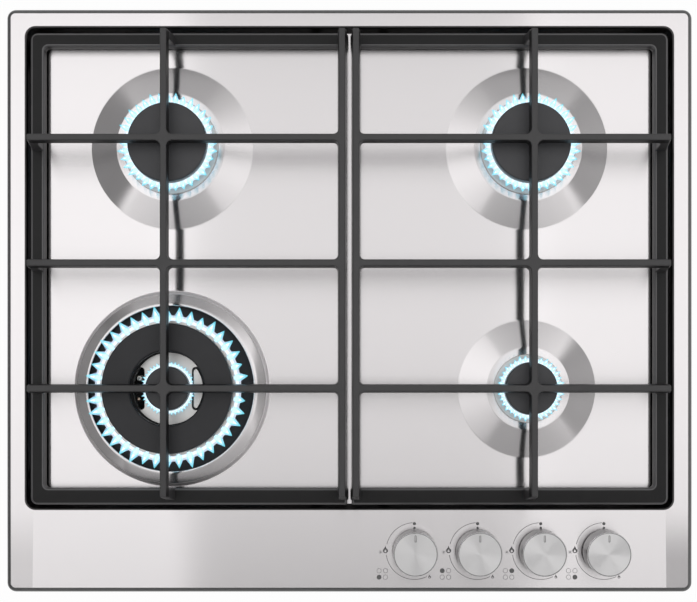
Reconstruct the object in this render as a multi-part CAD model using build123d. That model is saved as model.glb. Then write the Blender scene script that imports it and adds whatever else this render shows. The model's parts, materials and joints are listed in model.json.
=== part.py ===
from build123d import *
import os
from math import atan2, cos, degrees, radians, sin, sqrt, tan

# Built-in gas cooktop: pressed steel top, four burners, two cast pan supports, four front knobs.
# Millimetres. +Z up, +X to the right, +Y to the rear. X = Y = 0 is the middle of the top plate,
# and Z = 0 is the underside of the box that hangs in the worktop cut-out.

# ---- top plate, pressed from one sheet ----
PLATE_W = 600.0
PLATE_D = 510.0
PLATE_CORNER = 8.0
SHEET = 0.8
RIM_HEIGHT = 7.0            # rim's top above the worktop
RIM_EDGE = 3.0              # turned-down outer edge
SKIRT_GAP = 0.5             # turned-down edge's lower end above the worktop
RIM_SIDE = 17.5             # plate's edge to the well, at each side
RIM_REAR = 16.4
PANEL_D = 73.2              # front panel, from the plate's front edge to the well
WELL_DEPTH = 6.0
WELL_CORNER = 8.0
WELL_SLOPE = 25.0           # degrees from upright
ROUND_SIDES = 40            # caps and knobs are drawn with this many flats,
PRESSED_SIDES = 32          # pressed rounds in the sheet with this many
HIDDEN_SIDES = 16           # and rounds closed in by the box with this many

# ---- underbox, hangs in a 560 x 480 cut-out ----
BOX_SIDE = 24.0             # plate's edge to the box, at each side
BOX_END = 19.0              # and at the front and rear
BOX_HEIGHT = 45.0           # below the worktop
NOTCH_W = 60.0              # rear right corner left open for the gas hose
NOTCH_D = 60.0
SEAL_W = 6.0

# ---- worktop clamps ----
CLAMP_IN = 16.0             # clamp's middle from the notch
CLAMP_W = 20.0
CLAMP_T = 1.5
CLAMP_FOOT = 18.0
CLAMP_FOOT_Z = 3.5
CLAMP_RISE = 24.0
CLAMP_HOLE_R = 2.6
CLAMP_HOLE_X = 11.0         # foot's hole from the box

# ---- burner places and the raised cones they stand on ----
BURNER_SIDE = 126.7         # well's side to a burner's axis
BURNER_END = 104.8          # well's front or rear to a burner's axis
LARGE_FOOT_R = 71.0         # cone of a rear burner, at its foot and top
LARGE_TOP_R = 47.0
LARGE_CAP_R = 34.0
SMALL_FOOT_R = 60.5         # cone of the front right burner
SMALL_TOP_R = 36.0
SMALL_CAP_R = 22.5
PORTS = 36
CONE_RISE = 8.0
CUP_GAP = 0.5               # cup to the edge of its hole
LIP_OVER = 1.5              # cup's lip beyond the hole
LIP_T = 2.0
BOWL_WALL = 3.0
BOWL_FLOOR = 2.8
BOWL_INSET = 1.5            # bowl's outside inside the crown
THROAT_R = 14.0
THROAT_BORE_R = 9.0
HOLDER_W = 26.0             # injector holder under the throat
HOLDER_H = 16.0
GAS_Z = 30.0                # height of the tap outlets and feed pipes
JET_SEAT = 2.0              # injector's seat above the pipe's axis
JET_AF = 8.0
JET_H = 7.0
CROWN_H = 13.5
CROWN_WALL = 14.0           # crown round its open middle
SPIGOT_H = 4.0
SPIGOT_GAP = 0.4
CAP_T = 6.5
CAP_OVER = 2.0              # cap beyond the crown
CAP_BEVEL = 1.2
PORT_DEPTH = 4.5
PORT_REACH = 5.0
PORT_W = 3.2                # port's mouth
BRIDGE_T = 1.5
BRIDGE_W = 44.0
BRIDGE_OVER = 12.0          # bridge strip beyond the cone's foot
BRIDGE_GAP = 0.5

# ---- wok burner: outer crown, dish and inner crown in one casting ----
WOK_FOOT_R = 85.0
WOK_TOP_R = 74.0
WOK_HOLE_R = 72.0
WOK_FLANGE_R = 97.0
WOK_FLANGE_T = 2.0
WOK_CUP_R = 56.0
WOK_CUP_WALL = 3.0
WOK_FLOOR_Z = 36.0
WOK_CROWN_R = 58.5
WOK_CAP_R = 56.0
WOK_CAP_OPENING_R = 32.0
WOK_PORTS = 40
WOK_CHAMBER_R = 48.0
WOK_CHAMBER_H = 6.0
DISH_R = 34.0
DISH_DROP = 6.0             # dish below the crowns' tops
INNER_CROWN_R = 17.0
INNER_CAP_R = 18.75
INNER_PORTS = 20
INNER_PORT_REACH = 2.5
INNER_PORT_W = 2.4
DISH_SLOT_X = 26.0
DISH_SLOT_W = 10.0
DISH_SLOT_L = 38.0
DISH_LUG_H = 1.6
STUD_R = 90.5
STUD_AF = 4.0
STUD_NUT_AF = 7.0
STUD_NUT_H = 3.0
STUD_END = 4.0              # stud's end below the flange
STUD_FIT = 0.2

# ---- ignition electrodes and thermocouples ----
PROBE_OUT = 3.0             # probes' axes outside the cap
REAR_PROBE_TURN = 11.0      # degrees
HOLE_OVER_PROBE = 3.0       # cup's hole outside the probes' axes
PROBE_SLOT = 6.4            # slot in the cup round a probe
PROBE_FOOT_Z = 32.0
CERAMIC_AF = 5.0
CERAMIC_TOP = 8.0           # above the cone's top
TIP_AF = 2.0
TIP_RISE = 6.0
THERMO_AF = 4.0
THERMO_NUT_AF = 5.6
THERMO_NUT_H = 6.0
THERMO_RISE = 12.0          # above the cone's top
WOK_PROBE_Y = 9.0
LEAD_W = 2.2
LEAD_PITCH = 5.0            # ignition leads beside each other
IGNITION_LEAD_IN = 4.0      # first of them from the module's rear
IGNITION_LEAD_Z = 4.0
THERMO_LEAD_Z = 8.0
THERMO_LEAD_STEP = 4.0      # thermocouple leads beside each other, and one over another

# ---- pan supports, one casting each ----
SUPPORT_GAP_X = 5.5         # casting to the well's edge
SUPPORT_GAP_Y = 6.6
FRAME_W = 11.7
FRAME_H = 9.0
FRAME_CORNER = 6.0
FRAME_EDGE = 1.0
PAD_H = 3.0
PAD_W = 8.0
PAD_Y = 22.0                # outer pads from the casting's ends
PAD_X = 30.0                # inner pads from the middle of the cooktop
BAR_TOP = 48.0              # above the well's floor
BAR_DEPTH = 8.5
BAR_W = 5.2
BAR_DRAFT = 8.0             # degrees
BAR_INSET = 7.0             # bar's end from the frame's outside
BAR_GUSSET = 4.0            # corner between two bars, along each
MID_BAR_X = 5.8
LEG_TOP = 8.5
LEG_W = 6.6

# ---- controls ----
KNOB_SIDE = 77.6            # last knob's axis from the plate's side
KNOB_PITCH = 55.2
KNOB_COUNT = 4
KNOB_IN = 17.0              # knobs' axes from the box's front
KNOB_R = 19.25
KNOB_TOP = 22.4             # above the panel
KNOB_GAP = 3.4              # under the knob, room for the push
KNOB_BEVEL = 1.0
KNOB_SOCKET = 10.8
SOCKET_FIT = 0.05
PUSH = 3.0
SPINDLE_R = 4.0
SPINDLE_FIT = 0.05
SHOULDER_GAP = 0.375        # spindle's round part below the knob
SOCKET_END_GAP = 0.2        # spindle's end below the socket's end
SPINDLE_SQUARE = 5.4
SPINDLE_LOW = 36.0
PANEL_HOLE_R = 5.5
PANEL_HOLE_SIDES = 12
TAP_W = 28.0
TAP_D = 28.0
TAP_LOW = 14.0
TAP_TOP = 44.0
BONNET_AF = 15.0
BONNET_H = 4.0
PLUNGER_W = 5.0
PLUNGER_FIT = 0.1
PLUNGER_H = 6.0
PLUNGER_ROOM = 0.6          # under the plunger when it is pushed
OUTLET_DX = -6.5
MAGNET_DX = 7.5
MAGNET_AF = 11.0
MAGNET_L = 18.0
RAIL_W = 14.0
RAIL_WALL = 2.0
RAIL_Z = 17.0
RAIL_START = 24.8           # rail's closed end before the first tap's axis
RAIL_END = 8.0              # rail past the supply pipe
RAIL_FIT = 0.05
RAIL_FOOT_W = 16.0
RAIL_FOOT_T = 1.5
PIPE_AF = 8.0
NUT_AF = 12.0
NUT_L = 8.0
PIPE_ROUND = 60.0           # longest feed pipe passes the front right burner this far left of it
INLET_SIDE = 16.0           # inlet's axis from the box's right side
SUPPLY_AF = 12.0
SUPPLY_BORE_AF = 8.0
INLET_R = 10.48
INLET_L = 15.0
INLET_AF = 24.0
INLET_HEX = 8.0
INLET_SOCKET_AF = 18.0
INLET_SOCKET = 15.0
INLET_SOCKET_DEPTH = 9.0
WALL_FIT = 0.3
SWITCH_W = 8.0
SWITCH_D = 18.0
SWITCH_H = 13.0
LEVER_T = 0.6
LEVER_W = 4.0
LEVER_L = 4.5               # lever past the switch, towards the spindle
SWITCH_LEAD_Z = 40.0
SWITCH_LEAD_OUT = 20.0      # where it comes down, from the module's side
SWITCH_LEAD_DROP = 5.0      # where it joins the module, below the module's top
MODULE_W = 64.0
MODULE_D = 40.0
MODULE_H = 26.0
MODULE_SIDE = 71.0          # module's middle from the box's left side
MODULE_END = 30.0           # and from the box's front
TERMINAL_W = 44.0
TERMINAL_D = 24.0
TERMINAL_H = 16.0
TERMINAL_SIDE = 56.0        # terminal block's middle from the box's left side
TERMINAL_END = 31.0         # and from the box's rear
TERMINAL_LEAD_DROP = 4.0    # lead to the module, below the block's top
CABLE_W = 6.0
GROMMET_AF = 12.0
GROMMET_BORE_AF = 8.0
GROMMET_FLANGE = 3.0
GROMMET_T = 2.0
GROMMET_L = 4.0
GROMMET_Z = 22.0

# ---- sizes, heights and places that follow ----
WELL_W = PLATE_W - 2 * RIM_SIDE
WELL_D = PLATE_D - RIM_REAR - PANEL_D
WELL_Y = (PANEL_D - RIM_REAR) / 2
BOX_W = PLATE_W - 2 * BOX_SIDE
BOX_D = PLATE_D - 2 * BOX_END
CLAMP_Y = BOX_D / 2 - NOTCH_D - CLAMP_IN
BURNER_X = WELL_W / 2 - BURNER_SIDE
BURNER_ROW = WELL_D / 2 - BURNER_END
KNOB_X0 = PLATE_W / 2 - KNOB_SIDE - (KNOB_COUNT - 1) * KNOB_PITCH
KNOB_Y = KNOB_IN - BOX_D / 2
RAIL_LEFT = KNOB_X0 - RAIL_START
INLET_X = BOX_W / 2 - INLET_SIDE
MODULE_X = MODULE_SIDE - BOX_W / 2
MODULE_Y = MODULE_END - BOX_D / 2
TERMINAL_X = TERMINAL_SIDE - BOX_W / 2
TERMINAL_Y = BOX_D / 2 - TERMINAL_END
RIM_Z = BOX_HEIGHT + RIM_HEIGHT
PANEL_UNDER = RIM_Z - SHEET
FLOOR_Z = RIM_Z - WELL_DEPTH
FLOOR_UNDER = FLOOR_Z - SHEET
CONE_Z = FLOOR_Z + CONE_RISE
SEAT_Z = CONE_Z + LIP_T
CAP_Z = SEAT_Z + CROWN_H
DISH_Z = CAP_Z - DISH_DROP
FRAME_Z = FLOOR_Z + PAD_H
FRAME_TOP = FRAME_Z + FRAME_H
BAR_Z = FLOOR_Z + BAR_TOP
BAR_LOW = BAR_Z - BAR_DEPTH
BAR_FLARE = BAR_DEPTH * tan(radians(BAR_DRAFT))
REAR_Y = WELL_Y + BURNER_ROW
FRONT_Y = WELL_Y - BURNER_ROW
SUPPORT_X = WELL_W / 2 - SUPPORT_GAP_X
SUPPORT_D = WELL_D - 2 * SUPPORT_GAP_Y
KNOB_LOW = RIM_Z + KNOB_GAP
KNOB_XS = [KNOB_X0 + KNOB_PITCH * i for i in range(KNOB_COUNT)]
TAP_FACE_Y = KNOB_Y + TAP_D / 2
RAIL_LOW = RAIL_Z - RAIL_W / 2
RAIL_FACE_Y = KNOB_Y + RAIL_W / 2
INLET_WALL_Y = BOX_D / 2 - NOTCH_D
ON_BASE = (Align.CENTER, Align.CENTER, Align.MIN)


class Burner:
    """A small burner: its place, its cone's foot and top, its cap and ports, its probes' turn."""

    def __init__(self, x, y, foot_r, top_r, cap_r, ports, turn):
        self.x, self.y = x, y
        self.foot_r, self.top_r = foot_r, top_r
        self.cap_r = cap_r
        self.ports = ports
        self.turn = turn
        self.crown_r = cap_r - CAP_OVER
        self.bowl_r = self.crown_r - BOWL_INSET
        self.bore_r = self.bowl_r - BOWL_WALL
        self.probe_r = cap_r + PROBE_OUT
        self.hole_r = self.probe_r + HOLE_OVER_PROBE
        self.place = Pos(x, y, 0)

    def probes(self):
        """Places of the ignition electrode, on the left, and the thermocouple, on the right."""
        dx = self.probe_r * cos(radians(self.turn))
        dy = self.probe_r * sin(radians(self.turn))
        return (self.x - dx, self.y + dy), (self.x + dx, self.y + dy)


LARGE_SIZES = LARGE_FOOT_R, LARGE_TOP_R, LARGE_CAP_R, PORTS
SMALL_SIZES = SMALL_FOOT_R, SMALL_TOP_R, SMALL_CAP_R, PORTS
SMALL = {
    "rear_left": Burner(-BURNER_X, REAR_Y, *LARGE_SIZES, REAR_PROBE_TURN),
    "rear_right": Burner(BURNER_X, REAR_Y, *LARGE_SIZES, REAR_PROBE_TURN),
    "front_right": Burner(BURNER_X, FRONT_Y, *SMALL_SIZES, 0.0),
}
WOK = Pos(-BURNER_X, FRONT_Y, 0)
WOK_PROBES = [(-BURNER_X - DISH_SLOT_X, FRONT_Y + side * WOK_PROBE_Y) for side in (1, -1)]
CONES = [(b.place, b.foot_r, b.top_r, b.hole_r) for b in SMALL.values()]
CONES.append((WOK, WOK_FOOT_R, WOK_TOP_R, WOK_HOLE_R))

os.makedirs("parts", exist_ok=True)


def save(node, *pieces):
    """One STEP per node; a node of like pieces is a group of separate solids."""
    solids = [solid for piece in pieces for solid in piece.solids()]
    export_step(solids[0] if len(solids) == 1 else Compound(solids), f"parts/{node}.step")


def rod(radius, low, high):
    return Pos(0, 0, low) * Cylinder(radius, high - low, align=ON_BASE)


def block(x0, x1, y0, y1, z0, z1):
    return Pos(x0, y0, z0) * Box(x1 - x0, y1 - y0, z1 - z0, align=(Align.MIN,) * 3)


def post(x, y, width, low, high):
    """A square post standing at a place."""
    return Pos(x, y, low) * Box(width, width, high - low, align=ON_BASE)


def slab(width, depth, corner, low, high):
    """A plate with rounded corners."""
    return Pos(0, 0, low) * extrude(RectangleRounded(width, depth, corner), high - low)


def prism(across, sides, low, high):
    """A plain-sided bar along Z, by its size across the flats."""
    outline = RegularPolygon(across / 2, sides, major_radius=False)
    return Pos(0, 0, low) * extrude(outline, high - low)


def drum(radius, low, high, sides=HIDDEN_SIDES):
    """A round wall drawn with flats."""
    return Pos(0, 0, low) * extrude(RegularPolygon(radius, sides), high - low)


def bevelled(radius, low, high, bevel):
    """A disc with a bevelled upper edge."""
    rim = Pos(0, 0, high - bevel) * extrude(RegularPolygon(radius, ROUND_SIDES), bevel, taper=45)
    return drum(radius, low, high - bevel, ROUND_SIDES) + rim


def along_y(x, z, piece):
    """Lays a piece that stands on Z along +Y, its axis at X and Z."""
    return Pos(x, 0, z) * Rot(-90, 0, 0) * piece


# ---- top plate ----
def well(grow, top):
    """The space pressed into the plate: a rounded rectangle with sloped sides."""
    mouth = RectangleRounded(WELL_W + 2 * grow, WELL_D + 2 * grow, WELL_CORNER + grow)
    return Pos(0, WELL_Y, top) * extrude(mouth, -WELL_DEPTH, taper=WELL_SLOPE)


def cone(foot_r, top_r, low, floor, sides):
    """A burner's cone, from below the well's floor up."""
    slope = degrees(atan2(foot_r - top_r, CONE_RISE))
    rise = Pos(0, 0, floor) * extrude(RegularPolygon(foot_r, sides), CONE_RISE, taper=slope)
    return drum(foot_r, low, floor, sides) + rise


def sheet_side(inset, low):
    """Everything under the sheet's upper face, or its lower face when inset by the sheet."""
    top = RIM_Z - inset
    body = slab(PLATE_W - 2 * inset, PLATE_D - 2 * inset, PLATE_CORNER - inset, low, top)
    body = chamfer(body.edges().group_by(Axis.Z)[-1], RIM_EDGE - inset)
    body -= well(inset, top)
    for place, foot_r, top_r, hole_r in CONES:
        sides = HIDDEN_SIDES if inset else PRESSED_SIDES
        body += place * cone(foot_r, top_r, low, FLOOR_Z - inset, sides)
    return body


def make_top():
    low = FLOOR_UNDER - 1
    sheet = sheet_side(0, low) - sheet_side(SHEET, low)
    skirt = slab(PLATE_W + 2, PLATE_D + 2, PLATE_CORNER, low, BOX_HEIGHT + SKIRT_GAP)
    skirt -= slab(PLATE_W - 4 * SHEET, PLATE_D - 4 * SHEET, PLATE_CORNER, low, RIM_Z)
    sheet -= skirt
    for place, foot_r, top_r, hole_r in CONES:
        sheet -= place * drum(hole_r, low, CONE_Z + 1, PRESSED_SIDES)
    for x in KNOB_XS:
        sheet -= Pos(x, KNOB_Y, 0) * prism(2 * PANEL_HOLE_R, PANEL_HOLE_SIDES, PANEL_UNDER - 1, RIM_Z + 1)
    return sheet


save("hob_top", make_top())


# ---- underbox, seal and worktop clamps ----
def box_outline(inset):
    """Underbox outline with the open corner at the rear right."""
    outline = Rectangle(BOX_W - 2 * inset, BOX_D - 2 * inset)
    corner = Pos(BOX_W / 2 - NOTCH_W - inset, BOX_D / 2 - NOTCH_D - inset)
    return outline - corner * Rectangle(NOTCH_W * 2, NOTCH_D * 2, align=(Align.MIN,) * 2)


def make_underbox():
    tray = extrude(box_outline(0), PANEL_UNDER)
    tray -= Pos(0, 0, SHEET) * extrude(box_outline(SHEET), PANEL_UNDER)
    tray -= well(SHEET, PANEL_UNDER)
    inlet = prism(INLET_SOCKET_AF + 2 * WALL_FIT, 8, INLET_WALL_Y - 5, INLET_WALL_Y + 5)
    tray -= along_y(INLET_X, RAIL_Z, inlet)
    return tray - along_y(TERMINAL_X, GROMMET_Z, prism(GROMMET_AF, 8, BOX_D / 2 - 5, BOX_D / 2 + 5))


def make_seal():
    """Foam strip under the rim, inside its turned-down edge."""
    width, depth = PLATE_W - 2 * RIM_EDGE, PLATE_D - 2 * RIM_EDGE
    strip = slab(width, depth, PLATE_CORNER - RIM_EDGE, BOX_HEIGHT, PANEL_UNDER)
    inner = Box(width - 2 * SEAL_W, depth - 2 * SEAL_W, RIM_HEIGHT, align=ON_BASE)
    return strip - Pos(0, 0, BOX_HEIGHT) * inner


def make_clamp(side, end):
    """An angle welded to the box's side, its foot for a screw up into the worktop."""
    foot_top = CLAMP_FOOT_Z + CLAMP_T
    half = CLAMP_W / 2
    rise = block(0, CLAMP_T, -half, half, CLAMP_FOOT_Z, CLAMP_FOOT_Z + CLAMP_RISE)
    foot = block(0, CLAMP_FOOT, -half, half, CLAMP_FOOT_Z, foot_top)
    foot -= Pos(CLAMP_HOLE_X, 0, 0) * rod(CLAMP_HOLE_R, 0, foot_top + 1)
    turn = Rot(0, 0, 180 if side < 0 else 0)
    return Pos(side * BOX_W / 2, end * CLAMP_Y, 0) * turn * (rise + foot)


save("underbox", make_underbox())
save("rim_seal", make_seal())
save("worktop_clamps", *[make_clamp(side, end) for side in (-1, 1) for end in (-1, 1)])


# ---- burners ----
def make_holder():
    """The injector holder that a feed pipe runs into."""
    return post(0, 0, HOLDER_W, GAS_Z - HOLDER_H / 2, GAS_Z + HOLDER_H / 2)


def probe_slots(places):
    slots = [post(x, y, PROBE_SLOT, 0, RIM_Z * 2) for x, y in places]
    return slots[0] + slots[1]


def make_cup(burner):
    """Cast cup: lip on the sheet, bowl through the hole, throat and injector holder below."""
    cup = drum(burner.hole_r + LIP_OVER, CONE_Z, SEAT_Z, PRESSED_SIDES)
    cup += drum(burner.bowl_r, FLOOR_UNDER, CONE_Z) + make_holder()
    cup += drum(THROAT_R, GAS_Z + HOLDER_H / 2, FLOOR_UNDER)
    cup -= drum(burner.bore_r, FLOOR_UNDER + BOWL_FLOOR, SEAT_Z + 1)
    cup -= drum(THROAT_BORE_R, GAS_Z + JET_SEAT, SEAT_Z)
    return burner.place * cup - probe_slots(burner.probes())


def make_bridge(burner):
    """Strip welded under the sheet, across a cone, that carries a cup."""
    reach = burner.foot_r + BRIDGE_OVER
    strip = Pos(0, 0, FLOOR_UNDER - BRIDGE_T) * Box(2 * reach, BRIDGE_W, BRIDGE_T, align=ON_BASE)
    strip = burner.place * (strip - drum(THROAT_R + BRIDGE_GAP, 0, RIM_Z))
    return strip - probe_slots(burner.probes())


def ported(radius, count, low, high, reach, mouth):
    """A crown with a V-shaped port at each corner of its outline."""
    crown = drum(radius, low, high, count)
    flare = mouth * (reach + 1) / reach / 2
    outline = Polygon((radius - reach, 0), (radius + 1, -flare), (radius + 1, flare), align=None)
    port = Pos(0, 0, high - PORT_DEPTH) * extrude(outline, PORT_DEPTH + 1)
    for k in range(count):
        crown -= Rot(0, 0, k * 360 / count) * port
    return crown


def make_spreader(burner):
    """Flame spreader: ported crown, open in the middle, with a spigot down into the cup."""
    crown = ported(burner.crown_r, burner.ports, SEAT_Z, CAP_Z, PORT_REACH, PORT_W)
    crown += drum(burner.bore_r - SPIGOT_GAP, SEAT_Z - SPIGOT_H, SEAT_Z)
    return burner.place * (crown - drum(burner.crown_r - CROWN_WALL, 0, CAP_Z + 1))


def wok_studs(across, nut_h):
    """Studs through the wok cup's flange, with their nuts."""
    low = FLOOR_UNDER - WOK_FLANGE_T
    stud = prism(across, 6, low - STUD_END, FLOOR_UNDER)
    if nut_h:
        stud += prism(STUD_NUT_AF, 6, low - nut_h, low)
    return [WOK * Rot(0, 0, 45 + 90 * k) * Pos(STUD_R, 0, 0) * stud for k in range(4)]


def make_wok_cup():
    """Deep cup under the wok burner, its flange held to the well's floor by welded studs."""
    cup = drum(WOK_CUP_R, WOK_FLOOR_Z, SEAT_Z)
    cup += drum(WOK_FLANGE_R, FLOOR_UNDER - WOK_FLANGE_T, FLOOR_UNDER)
    cup += make_holder()
    cup -= drum(WOK_CUP_R - WOK_CUP_WALL, WOK_FLOOR_Z + WOK_CUP_WALL, SEAT_Z + 1)
    cup -= drum(THROAT_BORE_R, GAS_Z + JET_SEAT, SEAT_Z)
    cup = WOK * cup - probe_slots(WOK_PROBES)
    for stud in wok_studs(STUD_AF + 2 * STUD_FIT, 0):
        cup -= stud
    return cup


def make_wok_spreader():
    """One casting: outer crown, dish with a probe slot and a lug, inner crown, chamber below."""
    half_l, half_w = DISH_SLOT_L / 2, DISH_SLOT_W / 2
    spigot_z = SEAT_Z - SPIGOT_H
    crown = ported(WOK_CROWN_R, WOK_PORTS, SEAT_Z, CAP_Z, PORT_REACH, PORT_W)
    crown += drum(WOK_CUP_R - WOK_CUP_WALL - SPIGOT_GAP, spigot_z, SEAT_Z)
    crown -= drum(DISH_R, DISH_Z, CAP_Z + 1, PRESSED_SIDES)
    crown -= drum(WOK_CHAMBER_R, spigot_z, spigot_z + WOK_CHAMBER_H)
    crown += ported(INNER_CROWN_R, INNER_PORTS, DISH_Z, CAP_Z, INNER_PORT_REACH, INNER_PORT_W)
    lug_x, slot_x = DISH_SLOT_X, -DISH_SLOT_X
    crown += block(lug_x - half_w, lug_x + half_w, -half_l, half_l, DISH_Z, DISH_Z + DISH_LUG_H)
    return WOK * (crown - block(slot_x - half_w, slot_x + half_w, -half_l, half_l, 0, DISH_Z))


def make_cap(radius):
    return bevelled(radius, CAP_Z, CAP_Z + CAP_T, CAP_BEVEL)


def make_jet(place):
    return place * prism(JET_AF, 6, GAS_Z + JET_SEAT, GAS_Z + JET_SEAT + JET_H)


save("burner_cups", *[make_cup(burner) for burner in SMALL.values()])
save("burner_bridges", *[make_bridge(burner) for burner in SMALL.values()])
save("wok_burner_cup", make_wok_cup())
save("wok_studs", *wok_studs(STUD_AF, STUD_NUT_H))
save("injectors", *[make_jet(place) for place, *_ in CONES])
save("wok_spreader", make_wok_spreader())
save("wok_inner_cap", WOK * make_cap(INNER_CAP_R))
save("wok_outer_cap", WOK * (make_cap(WOK_CAP_R) - drum(WOK_CAP_OPENING_R, 0, CAP_Z * 2, ROUND_SIDES)))
for name, burner in SMALL.items():
    save(f"{name}_spreader", make_spreader(burner))
    save(f"{name}_cap", burner.place * make_cap(burner.cap_r))


# ---- ignition electrodes, thermocouples and their leads ----
PROBES = {name: burner.probes() for name, burner in SMALL.items()}
PROBES["wok"] = WOK_PROBES
MODULE_REAR = MODULE_Y + MODULE_D / 2
MODULE_RIGHT = MODULE_X + MODULE_W / 2
MAGNET_XS = [x + MAGNET_DX for x in KNOB_XS]
MAGNET_END = TAP_FACE_Y + MAGNET_L


def make_electrode(x, y):
    top = CONE_Z + CERAMIC_TOP
    ceramic = prism(CERAMIC_AF, 6, PROBE_FOOT_Z, top)
    return Pos(x, y, 0) * (ceramic + prism(TIP_AF, 6, top, top + TIP_RISE))


def make_thermocouple(x, y):
    nut = prism(THERMO_NUT_AF, 6, PROBE_FOOT_Z, PROBE_FOOT_Z + THERMO_NUT_H)
    return Pos(x, y, 0) * (nut + prism(THERMO_AF, 6, PROBE_FOOT_Z, CONE_Z + THERMO_RISE))


def make_lead(*points, width=LEAD_W):
    """A square lead in straight runs, each along one axis."""
    half = width / 2
    lead = None
    for start, end in zip(points, points[1:]):
        low = [min(a, b) - half for a, b in zip(start, end)]
        high = [max(a, b) + half for a, b in zip(start, end)]
        run = block(low[0], high[0], low[1], high[1], low[2], high[2])
        lead = run if lead is None else lead + run
    return lead


def rise_to(place, z):
    """The last two points of a lead that rises to a probe's foot."""
    x, y = place
    return (x, y, z), (x, y, PROBE_FOOT_Z - LEAD_W / 2)


def ignition_lead(name):
    """From the module, behind it for the left burners and along the front for the right ones."""
    x, y = PROBES[name][0]
    z = IGNITION_LEAD_Z
    if name in ("wok", "rear_left"):
        return make_lead((x, MODULE_REAR + LEAD_W / 2, z), *rise_to((x, y), z))
    row = MODULE_REAR - IGNITION_LEAD_IN - (LEAD_PITCH if name == "front_right" else 0)
    return make_lead((MODULE_RIGHT + LEAD_W / 2, row, z), (x, row, z), *rise_to((x, y), z))


def thermo_lead(knob, name, row, z):
    """From a tap's magnet unit, down behind the tap and along the box's floor."""
    x0 = MAGNET_XS[knob]
    x, y = PROBES[name][1]
    start = (x0, MAGNET_END + LEAD_W / 2, GAS_Z)
    return make_lead(start, (x0, row, GAS_Z), (x0, row, z), (x, row, z), *rise_to((x, y), z))


save("ignition_electrodes", *[make_electrode(*places[0]) for places in PROBES.values()])
save("thermocouples", *[make_thermocouple(*places[1]) for places in PROBES.values()])
save("ignition_leads", *[ignition_lead(name) for name in PROBES])
save(
    "thermocouple_leads",
    thermo_lead(0, "wok", MAGNET_END + THERMO_LEAD_STEP, THERMO_LEAD_Z),
    thermo_lead(1, "rear_left", MAGNET_END + 2 * THERMO_LEAD_STEP, THERMO_LEAD_Z),
    thermo_lead(2, "rear_right", MAGNET_END + 3 * THERMO_LEAD_STEP, THERMO_LEAD_Z + THERMO_LEAD_STEP),
    thermo_lead(3, "front_right", MAGNET_END + THERMO_LEAD_STEP, THERMO_LEAD_Z),
)


# ---- gas rail, taps, feed pipes and inlet ----
def make_rail():
    """Closed square tube under the taps, open only to the supply pipe."""
    right = INLET_X + RAIL_END
    half, bore = RAIL_W / 2, RAIL_W / 2 - RAIL_WALL
    tube = block(RAIL_LEFT, right, -half, half, -half, half)
    tube -= block(RAIL_LEFT + RAIL_WALL, right - RAIL_WALL, -bore, bore, -bore, bore)
    tube -= along_y(INLET_X, 0, prism(SUPPLY_BORE_AF, 8, 0, RAIL_W))
    return Pos(0, KNOB_Y, RAIL_Z) * tube


def make_rail_bracket(x):
    """Hat-shaped bracket from the box's floor up to the rail."""
    half = RAIL_FOOT_W / 2
    hat = block(-half, half, -half, half, SHEET, RAIL_LOW)
    hat -= block(-half, half, RAIL_FOOT_T - half, half - RAIL_FOOT_T, SHEET, RAIL_LOW - RAIL_FOOT_T)
    return Pos(x, KNOB_Y, 0) * hat


def make_tap(x):
    """Tap body with its bonnet, magnet unit and outlet nut, saddled on the rail."""
    tap = block(-TAP_W / 2, TAP_W / 2, -TAP_D / 2, TAP_D / 2, TAP_LOW, TAP_TOP)
    tap += prism(BONNET_AF, 6, TAP_TOP, TAP_TOP + BONNET_H)
    tap += along_y(MAGNET_DX, GAS_Z, prism(MAGNET_AF, 6, TAP_D / 2, TAP_D / 2 + MAGNET_L))
    tap += along_y(OUTLET_DX, GAS_Z, prism(NUT_AF, 6, TAP_D / 2, TAP_D / 2 + NUT_L))
    half = RAIL_W / 2 + RAIL_FIT
    tap -= block(-TAP_W, TAP_W, -half, half, 0, RAIL_Z + half)
    low = SPINDLE_LOW - PLUNGER_H - PUSH - PLUNGER_ROOM
    tap -= post(0, 0, PLUNGER_W + 2 * PLUNGER_FIT, low, SPINDLE_LOW)
    bore_low, across = SPINDLE_LOW - PUSH - PLUNGER_ROOM, 2 * (SPINDLE_R + SPINDLE_FIT)
    return Pos(x, KNOB_Y, 0) * (tap - prism(across, HIDDEN_SIDES, bore_low, TAP_TOP + BONNET_H + 1))


def make_switch(x):
    """Ignition switch on the tap's left side, its lever towards the spindle."""
    depth, half = SWITCH_D / 2, LEVER_W / 2
    body = block(-SWITCH_W, 0, -depth, depth, TAP_TOP - SWITCH_H, TAP_TOP)
    lever = block(-SWITCH_W, LEVER_L, -half, half, TAP_TOP, TAP_TOP + LEVER_T)
    return Pos(x - TAP_W / 2, KNOB_Y, 0) * (body + lever)


def make_switch_lead():
    """One lead along the taps, joined to each switch, then down to the module."""
    y, z = TAP_FACE_Y + LEAD_W / 2, SWITCH_LEAD_Z
    xs = [x - TAP_W / 2 - SWITCH_W / 2 for x in KNOB_XS]
    turn_x, low = MODULE_RIGHT + SWITCH_LEAD_OUT, MODULE_H - SWITCH_LEAD_DROP
    end = (MODULE_RIGHT + LEAD_W / 2, y, low)
    lead = make_lead((xs[-1], y, z), (turn_x, y, z), (turn_x, y, low), end)
    for x in xs:
        lead += make_lead((x, KNOB_Y + SWITCH_D / 2 + LEAD_W / 2, z), (x, y, z))
    return lead


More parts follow.
